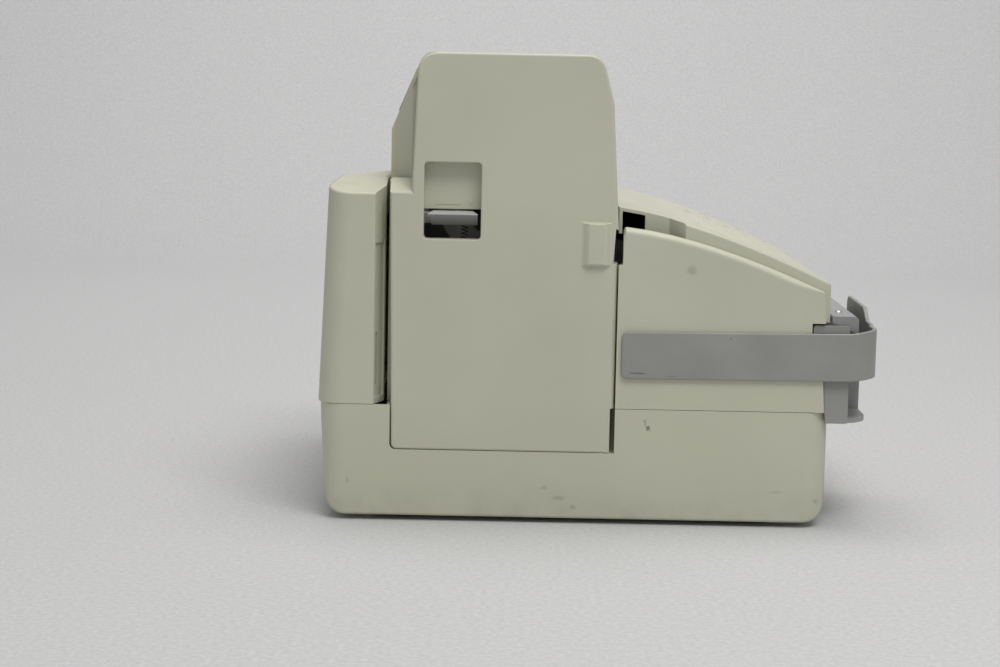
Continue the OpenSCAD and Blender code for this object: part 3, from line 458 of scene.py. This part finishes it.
def ceramic_finish(name):
    """Glazed ceramic with the line of heating dots."""
    s = Surface(name)
    line = s.span(s.maths("ABSOLUTE", s.maths("SUBTRACT", s.axis("X"), 0.194)), 0.0006, 0.0004)
    body = s.blend(s.span(s.noise(180, 3), 0.3, 0.7), (0.66, 0.64, 0.58, 1), (0.76, 0.74, 0.68, 1))
    tone = s.blend(line, body, (0.05, 0.045, 0.04, 1))
    return s.shader(tone, s.span(s.noise(220, 2), 0.3, 0.7, 0.14, 0.24), s.bump(line, 0.00005))


FINISH = {
    "housing_plastic": housing_finish("housing_plastic", PUTTY),
    "guard_plastic": moulded_finish("guard_plastic", GUARD_GREY, 0.42, wear=1.12, rubs=GUARD_RUBS),
    "latch_plastic": handle_finish("latch_plastic"),
    "foot_plastic": moulded_finish("foot_plastic", FOOT_BEIGE, 0.55, 900, 0.75),
    "dark_plastic": moulded_finish("dark_plastic", CHARCOAL, 0.46, 1100, 1.8),
    "gear_plastic": moulded_finish("gear_plastic", (0.74, 0.70, 0.58, 1), 0.38, 700, 0.86),
    "lever_plastic": moulded_finish("lever_plastic", (0.105, 0.225, 0.345, 1), 0.40, 1000, 1.3),
    "hood_paint": paint_finish("hood_paint", (0.270, 0.276, 0.276, 1), 0.34),
    "bright_steel": brushed_finish("bright_steel", (0.62, 0.63, 0.62, 1), 0.30, (1, 6, 1), 0.00001),
    "platter_steel": brushed_finish("platter_steel", (0.64, 0.64, 0.63, 1), 0.30, (0.03, 1, 1)),
    "plate_steel": spangle_finish("plate_steel", (0.42, 0.44, 0.45, 1), 0.42),
    "cast_aluminium": brushed_finish("cast_aluminium", (0.52, 0.53, 0.54, 1), 0.40, (1, 0.1, 1)),
    "motor_metal": paint_finish("motor_metal", (0.075, 0.080, 0.084, 1), 0.38),
    "brass": brushed_finish("brass", (0.52, 0.34, 0.11, 1), 0.32, (1, 8, 1), 0.00001),
    "rubber": rubber_finish("rubber"),
    "label_paper": label_roll_finish("label_paper"),
    "core_board": core_finish("core_board"),
    "liner_paper": paper_finish("liner_paper", (0.64, 0.56, 0.36, 1), TAKEUP_AXIS),
    "circuit_board": board_finish("circuit_board"),
    "keypad_sheet": sheet_finish("keypad_sheet", KEYPAD_PUTTY),
    "display_window": window_finish("display_window"),
    "display_module": crystal_finish("display_module"),
    "vial_fluid": vial_finish("vial_fluid"),
    "ceramic_head": ceramic_finish("ceramic_head"),
}
SLOT_OF = {part["node"]: part["material_slot"] for part in frame["record"]["subparts"]}

# ---- shaping ----


def shade_by_angle():
    """A geometry group that drops stored normals and smooths every edge below an angle."""
    group = bpy.data.node_groups.new("shade_by_angle", "GeometryNodeTree")
    group.interface.new_socket("Geometry", in_out="INPUT", socket_type="NodeSocketGeometry")
    group.interface.new_socket("Geometry", in_out="OUTPUT", socket_type="NodeSocketGeometry")
    start = group.nodes.new("NodeGroupInput")
    end = group.nodes.new("NodeGroupOutput")
    angle = group.nodes.new("GeometryNodeInputMeshEdgeAngle")
    small = group.nodes.new("FunctionNodeCompare")
    small.operation = "LESS_THAN"
    small.inputs["B"].default_value = math.radians(SMOOTH_DEG)
    reset = group.nodes.new("GeometryNodeSetMeshNormal")
    reset.mode = "SHARPNESS"
    reset.inputs["Remove Custom"].default_value = True
    invert = group.nodes.new("FunctionNodeBooleanMath")
    invert.operation = "NOT"
    group.links.new(angle.outputs["Unsigned Angle"], small.inputs["A"])
    group.links.new(small.outputs["Result"], invert.inputs[0])
    group.links.new(start.outputs[0], reset.inputs["Mesh"])
    group.links.new(invert.outputs[0], reset.inputs["Edge Sharpness"])
    group.links.new(reset.outputs["Mesh"], end.inputs[0])
    return group


SHADING = shade_by_angle()


def soften(piece, width, segments=2):
    """Rounds the sharp edges of a piece with modifiers, and shades it by its faces."""
    weld = piece.modifiers.new("weld", "WELD")
    weld.merge_threshold = 0.000002
    flat = piece.modifiers.new("flat", "DECIMATE")
    flat.decimate_type = "DISSOLVE"
    flat.angle_limit = math.radians(1.2)
    edge = piece.modifiers.new("edge", "BEVEL")
    edge.width = width
    edge.segments = segments
    edge.limit_method = "ANGLE"
    edge.angle_limit = math.radians(SHARP_DEG)
    smooth = piece.modifiers.new("shading", "NODES")
    smooth.node_group = SHADING
    piece.modifiers.new("normals", "WEIGHTED_NORMAL").keep_sharp = True


def add_piece(name, bm, body, slot):
    """Makes an object from a bmesh, and gives it its body and its slot's finish."""
    mesh = bpy.data.meshes.new(name)
    bm.to_mesh(mesh)
    bm.free()
    piece = bpy.data.objects.new(name, mesh)
    bpy.context.scene.collection.objects.link(piece)
    mesh.materials.append(FINISH[slot])
    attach(piece, body)
    return piece


def steep(edge, degrees=SHARP_DEG):
    return len(edge.link_faces) == 2 and edge.calc_face_angle(0) > math.radians(degrees)


def within(edge, low, high):
    """True if both ends of the edge lie between two corners, given in millimetres."""
    return all(low[i] * MM - 1e-5 <= v.co[i] <= high[i] * MM + 1e-5 for v in edge.verts for i in range(3))


CLAMP_BELOW = 1.0        # wider rounds than this many millimetres aren't cut short by their neighbours
WIDE = 1000
EVERYWHERE = ((-WIDE, -WIDE, -WIDE), (WIDE, WIDE, WIDE))


def refine(node, body, rounds, shape=None):
    """A copy of a CAD node with its edges rounded; rounds are (width in mm, segments, low, high)."""
    bm = bmesh.new()
    bm.from_mesh(frame["nodes"][node].data)
    bmesh.ops.remove_doubles(bm, verts=bm.verts, dist=0.000015)
    bmesh.ops.dissolve_limit(bm, angle_limit=math.radians(1), verts=bm.verts, edges=bm.edges)
    if shape:
        shape(bm)
    for width, segments, low, high in rounds:
        edges = [e for e in bm.edges if steep(e) and within(e, low, high)]
        bmesh.ops.bevel(bm, geom=edges, offset=width * MM, offset_type="OFFSET", segments=segments,
                        profile=0.5, affect="EDGES", clamp_overlap=width < CLAMP_BELOW)
    for face in bm.faces:
        face.smooth = True
    for edge in bm.edges:
        edge.smooth = not steep(edge, SMOOTH_DEG)
    piece = add_piece(node + "_fine", bm, body, SLOT_OF[node])
    if "custom_normal" in piece.data.attributes:
        piece.data.attributes.remove(piece.data.attributes["custom_normal"])
    piece.modifiers.new("normals", "WEIGHTED_NORMAL").keep_sharp = True
    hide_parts(node)
    return piece


# ---- the housing ----

PANEL_ROUND = 0.0052     # of the side panel's upper edge, which fades out at its low end
PANEL_FADE_X = (0.174, 0.186)
PANEL_LEFT_X = 0.0178
ROUND_STEPS = 7


def panel_round(x):
    """The radius of the panel's upper edge at x."""
    share = (PANEL_FADE_X[1] - x) / (PANEL_FADE_X[1] - PANEL_FADE_X[0])
    return PANEL_ROUND * max(0.06, min(1.0, share))


def round_panel_top(bm):
    """Rounds the near upper edge of the side panel by moving its skin down onto an arc."""
    tree = BVHTree.FromBMesh(bm)
    angles = [math.radians(90 * i / ROUND_STEPS) for i in range(ROUND_STEPS + 1)]
    depths = [PANEL_ROUND * (1 - math.sin(angle)) for angle in angles]
    for depth in depths[:-1]:
        bmesh.ops.bisect_plane(bm, geom=bm.verts[:] + bm.edges[:] + bm.faces[:], dist=1e-7,
                               plane_co=(0, NEAR_Y + max(depth, 0.00002), 0), plane_no=(0, 1, 0))
    for vert in bm.verts:
        x, depth = vert.co.x, vert.co.y - NEAR_Y
        radius = panel_round(x)
        if x < PANEL_LEFT_X or depth >= radius or vert.co.z < 0.19:
            continue
        hit, normal, _, _ = tree.ray_cast(Vector((x, NEAR_Y + 0.001, 1.0)), Vector((0, 0, -1)))
        if hit is None:
            continue
        drop = radius - math.sqrt(max(0.0, radius ** 2 - (radius - depth) ** 2))
        level = hit.z - drop / max(0.35, normal.z)
        vert.co.z = min(vert.co.z, level)



def near_face(low_x, high_x, low_z, high_z):
    """Corners of a box that holds only edges on the flat near side."""
    return (low_x, -190.05, low_z), (high_x, -189.95, high_z)


REFINED = {
    "door_shell": ("door", [
        (1.2, 3, *near_face(-146, -97, 233, 299)),
        (2.2, 3, *near_face(-WIDE, WIDE, 0, WIDE)),
        (1.3, 3, (-30, -196, 200), (20, -194.4, 260)),
        (0.5, 2, *EVERYWHERE),
    ]),
    "base_tray": ("frame", [
        (2.4, 3, (-WIDE, -WIDE, 0), (WIDE, WIDE, 26)),
        (0.8, 2, *EVERYWHERE),
    ]),
    "tower_body": ("frame", [
        (2.2, 3, (-WIDE, -40.05, 0), (WIDE, -39.95, WIDE)),
        (0.7, 2, *EVERYWHERE),
    ]),
    "column_cover": ("frame", [
        (1.8, 3, (-WIDE, -WIDE, 245), (-177, -41, WIDE)),
        (0.8, 2, *EVERYWHERE),
    ]),
    "front_panel": ("frame", [(0.5, 2, *EVERYWHERE)]),
    "console_cover": ("frame", [
        (2.3, 4, (60, -181.1, 195), (191, -180.9, WIDE)),
        (2.3, 3, (10, 194.4, 195), (192, 194.6, WIDE)),
        (0.7, 2, *EVERYWHERE),
    ]),
    "deck_cover": ("frame", [
        (2.0, 3, (-WIDE, -38, 190), (WIDE, WIDE, WIDE)),
        (0.7, 2, *EVERYWHERE),
    ]),
    "label_guard": ("frame", [(1.2, 3, *EVERYWHERE)]),
    "outlet_frame": ("frame", [(0.6, 2, *EVERYWHERE)]),
    "latch_handle": ("latch", [(0.5, 2, *EVERYWHERE)]),
}
SHAPED = {"front_panel": round_panel_top}
for cad_node, (its_body, its_rounds) in REFINED.items():
    refine(cad_node, its_body, its_rounds, SHAPED.get(cad_node))

# ---- the nodes that keep their CAD shape ----

EDGE_WIDTH = {
    "outlet_hood": 0.5, "platter": 0.35, "keypad_overlay": 0.1,
    "operator_window": 0.3, "customer_window": 0.3,
    "level_cup": 0.4, "level_vial": 0.3, "label_roll": 0.25, "label_core": 0.3, "wound_liner": 0.2,
    "platen_gear": 0.12, "idler_gear": 0.12, "motor_pinion": 0.1, "main_board": 0.15,
    "keypad_board": 0.1, "head_bracket": 0.3,
    "hinge_bracket": 0.4, "mechanism_plate": 0.25, "hinge_pins": 0.4,
}
for cad_node, cad_object in frame["nodes"].items():
    if cad_node not in REFINED and cad_node != "latch_spring":
        cad_object.data.materials.clear()
        cad_object.data.materials.append(FINISH[SLOT_OF[cad_node]])
        soften(cad_object, EDGE_WIDTH.get(cad_node, 0.6) * MM)

# ---- the latch spring, kept as a fixed coil on the door; the real spring shortens as the handle is pulled ----

# Painted shade: the spring's steel is made dark so that it shows as dark as the shadowed hollow behind the
# latch handle.
SHADED_SPRING_STEEL = (0.16, 0.16, 0.155, 1)


def make_spring():
    bm = bmesh.new()
    bm.from_mesh(frame["nodes"]["latch_spring"].data)
    for face in bm.faces:
        face.smooth = True
    coil = add_piece("latch_spring_coil", bm, "door", SLOT_OF["latch_spring"])
    coil.data.materials.clear()
    coil.data.materials.append(brushed_finish("spring_steel_painted_shade", SHADED_SPRING_STEEL, 0.45, (1, 1, 4)))
    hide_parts("latch_spring")
    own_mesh(coil)


make_spring()

# ---- marks and fasteners that the frame doesn't hold ----

INK = sheet_finish("ink", (0.045, 0.047, 0.050, 1))
GREY_INK = sheet_finish("grey_ink", (0.330, 0.330, 0.300, 1))
KEY_TOP = sheet_finish("key_top", (0.580, 0.572, 0.470, 1))


def painted(piece, finish):
    """The piece with another finish than its slot's."""
    piece.data.materials.clear()
    piece.data.materials.append(finish)
    return piece


def surface_of(node):
    mesh = frame["nodes"][node].data
    return BVHTree.FromPolygons([v.co for v in mesh.vertices], [tuple(p.vertices) for p in mesh.polygons])


def on_surface(tree, x, y):
    """The place and the slope of the highest surface at x, y."""
    place, normal, _, _ = tree.ray_cast(Vector((x, y, 1.0)), Vector((0, 0, -1)))
    return place, normal


def rounded_loop(half_x, half_y, radius, steps=5):
    """Points around a rectangle with rounded corners."""
    loop = []
    for quarter, (sx, sy) in enumerate(((1, 1), (-1, 1), (-1, -1), (1, -1))):
        for i in range(steps):
            angle = math.radians(90 * (quarter + i / (steps - 1)))
            loop.append((sx * (half_x - radius) + radius * math.cos(angle),
                         sy * (half_y - radius) + radius * math.sin(angle)))
    return loop


def bridge(bm, lower, upper):
    for i in range(len(lower)):
        j = (i + 1) % len(lower)
        bm.faces.new((lower[i], lower[j], upper[j], upper[i]))


def add_pad(bm, tree, x, y, half_x, half_y, rise, radius):
    """A low raised pad with rounded edges, which follows the surface under it."""
    rings = []
    for inset, lift in ((0, -0.00005), (0, rise * 0.5), (rise, rise)):
        ring = []
        for dx, dy in rounded_loop(half_x - inset, half_y - inset, radius - inset / 2):
            place, _ = on_surface(tree, x + dx, y + dy)
            ring.append(bm.verts.new(place + Vector((0, 0, lift))))
        rings.append(ring)
    bridge(bm, rings[0], rings[1])
    bridge(bm, rings[1], rings[2])
    place, _ = on_surface(tree, x, y)
    middle = bm.verts.new(place + Vector((0, 0, rise)))
    for i, vert in enumerate(rings[2]):
        bm.faces.new((vert, rings[2][(i + 1) % len(rings[2])], middle))
    bm.faces.new(reversed(rings[0]))


KEY_PITCH = 0.018
KEY_HALF = 0.0076
KEY_RISE = 0.00016
KEY_ROWS = [0.076 + KEY_PITCH * i for i in range(6)]
PRESET_COLUMNS = [-0.138 + KEY_PITCH * i for i in range(8)]
FUNCTION_COLUMNS = [0.012 + KEY_PITCH * i for i in range(3)]
NUMBER_COLUMNS = [0.074 + KEY_PITCH * i for i in range(3)]
DIGIT_ROWS = ["789", "456", "123", " 0 "]
# printed marks beyond the keys: place, and half size along X and Y
PRINTED_MARKS = [
    ((0.1128, 0.1690), (0.0010, 0.0022)), ((0.1160, 0.1680), (0.0009, 0.0034)),
    ((0.1190, 0.1700), (0.0008, 0.0018)), ((0.1480, 0.1700), (0.0012, 0.0016)),
    ((0.1505, 0.1690), (0.0007, 0.0024)), ((0.1755, 0.1680), (0.0012, 0.0024)),
]


def key_places():
    """Every key's place: presets, function keys, and the block of numbers."""
    presets = [(x, y) for x in KEY_ROWS for y in PRESET_COLUMNS]
    functions = [(x, y) for x in KEY_ROWS[1:5] for y in FUNCTION_COLUMNS]
    numbers = [(x, y) for x in KEY_ROWS[1:5] for y in NUMBER_COLUMNS]
    return presets + functions + numbers


def make_keys(tree):
    bm = bmesh.new()
    for x, y in key_places():
        add_pad(bm, tree, x, y, KEY_HALF, KEY_HALF, KEY_RISE, 0.0016)
    # the tall key beside the numbers
    add_pad(bm, tree, KEY_ROWS[2] + KEY_PITCH, 0.130, KEY_HALF + KEY_PITCH / 2, KEY_HALF, KEY_RISE, 0.0016)
    painted(add_piece("keypad_keys", bm, "frame", "keypad_sheet"), KEY_TOP)
    bm = bmesh.new()
    for (x, y), (half_x, half_y) in PRINTED_MARKS:
        add_pad(bm, tree, x, y, half_x, half_y, 0.00012, 0.0005)
    painted(add_piece("keypad_marks", bm, "frame", "keypad_sheet"), INK)


def make_digits(tree):
    """A number on each key of the number block, facing the operator."""
    bm = bmesh.new()
    for x, row in zip(KEY_ROWS[1:5], DIGIT_ROWS):
        for y, digit in zip(NUMBER_COLUMNS, row):
            if digit == " ":
                continue
            text = bpy.data.curves.new("digit", "FONT")
            text.body = digit
            text.size = 0.0085
            text.align_x = "CENTER"
            text.align_y = "CENTER"
            text.extrude = 0.00003
            holder = bpy.data.objects.new("digit", text)
            mesh = bpy.data.meshes.new_from_object(holder)
            place, normal = on_surface(tree, x, y)
            across = Vector((0, 1, 0))
            up = normal.cross(across)
            turn = Matrix((across, up, normal)).transposed().to_4x4()
            mesh.transform(Matrix.Translation(place + normal * (KEY_RISE + 0.00001)) @ turn)
            bm.from_mesh(mesh)
            bpy.data.objects.remove(holder)
            bpy.data.meshes.remove(mesh)
    painted(add_piece("keypad_digits", bm, "frame", "keypad_sheet"), GREY_INK)


def add_prism(bm, outline, frame_matrix, depth):
    """An outline in a plane, raised by depth, with its rim drawn in a little."""
    count = len(outline)
    middle = Vector((sum(p[0] for p in outline) / count, sum(p[1] for p in outline) / count))
    low = [bm.verts.new(frame_matrix @ Vector((p[0], p[1], -depth * 0.3))) for p in outline]
    high = []
    for p in outline:
        inner = Vector(p).lerp(middle, min(0.3, depth / (Vector(p) - middle).length))
        high.append(bm.verts.new(frame_matrix @ Vector((inner.x, inner.y, depth))))
    bridge(bm, low, high)
    bm.faces.new(high)
    bm.faces.new(reversed(low))


def segment(low, high, half):
    """A display segment: a bar from low to high with pointed ends."""
    low, high = Vector(low), Vector(high)
    along = (high - low).normalized() * half
    side = Vector((-along.y, along.x))
    return [low, low + along - side, high - along - side, high, high - along + side, low + along + side]


DIGIT_W, DIGIT_H, DIGIT_PITCH = 0.0042, 0.0085, 0.0064
ZERO_SEGMENTS = [((0, 0), (1, 0)), ((1, 0), (1, 0.5)), ((1, 0.5), (1, 1)), ((0, 1), (1, 1)),
                 ((0, 0.5), (0, 1)), ((0, 0), (0, 0.5))]
READOUTS = [(-0.038, 4), (-0.0055, 3), (0.0195, 3)]    # where each field starts, and its digits
SEGMENT_GAP = 0.00025
SEGMENT_HALF = 0.00042
SEGMENT_RISE = 0.00008
POINT_RADIUS = 0.0005


def make_readout(name, place):
    """Three fields of zeros on a display."""
    bm = bmesh.new()
    for start, digits in READOUTS:
        for i in range(digits):
            left = start + i * DIGIT_PITCH
            for low, high in ZERO_SEGMENTS:
                ends = [(left + e[0] * DIGIT_W, (e[1] - 0.5) * DIGIT_H) for e in (low, high)]
                gap = (Vector(ends[1]) - Vector(ends[0])).normalized() * SEGMENT_GAP
                bar = segment(Vector(ends[0]) + gap, Vector(ends[1]) - gap, SEGMENT_HALF)
                add_prism(bm, bar, place, SEGMENT_RISE)
        dot = left + DIGIT_W * 0.5 - (digits - 2) * DIGIT_PITCH + DIGIT_PITCH * 0.5
        add_prism(bm, rounded_dot(dot, -DIGIT_H / 2, POINT_RADIUS), place, SEGMENT_RISE)
    painted(add_piece(name, bm, "frame", "display_module"), INK)


def rounded_dot(x, y, radius, steps=10):
    return [(x + radius * math.cos(math.tau * i / steps), y + radius * math.sin(math.tau * i / steps))
            for i in range(steps)]


def facing(place, right, up):
    """A frame at place whose X and Y run along right and up."""
    right, up = Vector(right), Vector(up)
    turn = Matrix((right, up, right.cross(up))).transposed().to_4x4()
    return Matrix.Translation(place) @ turn


OPERATOR_FACE = (0.0093, -0.104, 0.320)
OPERATOR_TILT = -2.9     # degrees about Y
CUSTOMER_FACE = (-0.1605, -0.100, 0.354)
CUSTOMER_TILT = 22.9
UPRIGHT = (0, 0, 1)


def tilted(place, degrees):
    return Matrix.Translation(place) @ Matrix.Rotation(math.radians(degrees), 4, "Y")


def make_readouts():
    """Each readout lies on the face of its display module."""
    operator = tilted(OPERATOR_FACE, OPERATOR_TILT) @ facing((-0.003, 0, 0), (0, 1, 0), UPRIGHT)
    customer = tilted(CUSTOMER_FACE, CUSTOMER_TILT) @ facing((0.0036, 0, 0), (0, -1, 0), UPRIGHT)
    make_readout("operator_digits", operator)
    make_readout("customer_digits", customer)


POCKET_FLOOR_Y = -0.177
ARROW_AT = (-0.1073, 0.2638)


def make_pocket_arrow():
    """A raised triangle and bar in the latch pocket, which show the way to pull."""
    bm = bmesh.new()
    wall = facing((0, POCKET_FLOOR_Y, 0), (1, 0, 0), (0, 0, 1))
    x, z = ARROW_AT
    add_prism(bm, [(x - 0.0026, z + 0.0022), (x, z - 0.0024), (x + 0.0026, z + 0.0022)], wall, 0.00045)
    bar = [(x - 0.0180 + dx, z - 0.0006 + dz) for dx, dz in rounded_loop(0.0110, 0.0011, 0.0010)]
    add_prism(bm, bar, wall, 0.00045)
    add_piece("pocket_arrow", bm, "door", "housing_plastic")


SCREW_RINGS = [(0.0, 0.9), (0.16, 0.9), (0.32, 0.88), (0.48, 0.84), (0.64, 0.76), (0.80, 0.60), (0.93, 0.34),
               (1.0, 0.0)]
SCREW_STEPS = 32


def add_screw(bm, place, radius):
    """A domed screw head with a cross recess, its axis along the frame's Z."""
    rise = radius * 0.55
    middle = bm.verts.new(place @ Vector((0, 0, rise * 0.25)))
    last = None
    for share, height in SCREW_RINGS[1:]:
        ring = []
        for i in range(SCREW_STEPS):
            angle = math.tau * (i + 0.5) / SCREW_STEPS
            x, y = share * math.cos(angle), share * math.sin(angle)
            sunk = share < 0.6 and min(abs(x), abs(y)) < 0.17
            level = rise * (height - (0.62 if sunk else 0.0))
            ring.append(bm.verts.new(place @ Vector((x * radius, y * radius, level))))
        if last is None:
            for i in range(SCREW_STEPS):
                bm.faces.new((middle, ring[i], ring[(i + 1) % SCREW_STEPS]))
        else:
            bridge(bm, ring, last)
        last = ring
    bm.faces.new(last)


def make_screws():
    bm = bmesh.new()
    for x, z in ((-0.140, 0.120), (-0.140, 0.300), (-0.056, 0.304), (-0.020, 0.112)):
        add_screw(bm, facing((x, -0.062, z), (1, 0, 0), (0, 0, 1)), 0.0042)
    screws = add_piece("plate_screws", bm, "frame", "bright_steel")
    bm = bmesh.new()
    for x in (-0.150, -0.040, 0.130):
        for y in (-0.125, 0.135):
            add_screw(bm, facing((x, y, 0.0043), (1, 0, 0), (0, -1, 0)), 0.0040)
    base_screws = add_piece("base_screws", bm, "frame", "bright_steel")
    for piece in (screws, base_screws):
        bmesh_normals(piece)


def bmesh_normals(piece):
    """Turns a closed mesh's faces outwards."""
    bm = bmesh.new()
    bm.from_mesh(piece.data)
    bmesh.ops.recalc_face_normals(bm, faces=bm.faces)
    bm.to_mesh(piece.data)
    bm.free()


KEYPAD = surface_of("keypad_overlay")
make_keys(KEYPAD)
make_digits(KEYPAD)
make_readouts()
make_pocket_arrow()
make_screws()

# ---- floor ----


def floor_finish():
    s = Surface("floor")
    fleck = s.noise(230, 3, 0.6)
    tone = s.blend(s.span(fleck, 0.35, 0.65), (0.52, 0.52, 0.53, 1), (0.60, 0.60, 0.60, 1))
    return s.shader(tone, 0.75, s.bump(fleck, 0.0001))


FLOOR_HALF = 5.0
FLOOR_FRONT = -5.0
SWEEP_START = 1.9        # where the floor begins to curve up into the backdrop
SWEEP_RADIUS = 1.3
SWEEP_STEPS = 24
BACKDROP_TOP = 4.0


def sweep_profile():
    """The floor's height along Y: flat, a quarter circle, then upright."""
    points = [(FLOOR_FRONT, 0.0)]
    for step in range(SWEEP_STEPS + 1):
        angle = math.pi / 2 * step / SWEEP_STEPS
        points.append((SWEEP_START + SWEEP_RADIUS * math.sin(angle), SWEEP_RADIUS * (1 - math.cos(angle))))
    return points + [(SWEEP_START + SWEEP_RADIUS, BACKDROP_TOP)]


def make_floor():
    bm = bmesh.new()
    rows = [[bm.verts.new((x, y, z)) for x in (-FLOOR_HALF, FLOOR_HALF)] for y, z in sweep_profile()]
    for near, far in zip(rows, rows[1:]):
        bm.faces.new((near[0], near[1], far[1], far[0])).smooth = True
    mesh = bpy.data.meshes.new("floor")
    bm.to_mesh(mesh)
    bm.free()
    mesh.materials.append(floor_finish())
    floor = bpy.data.objects.new("floor", mesh)
    bpy.context.scene.collection.objects.link(floor)


make_floor()
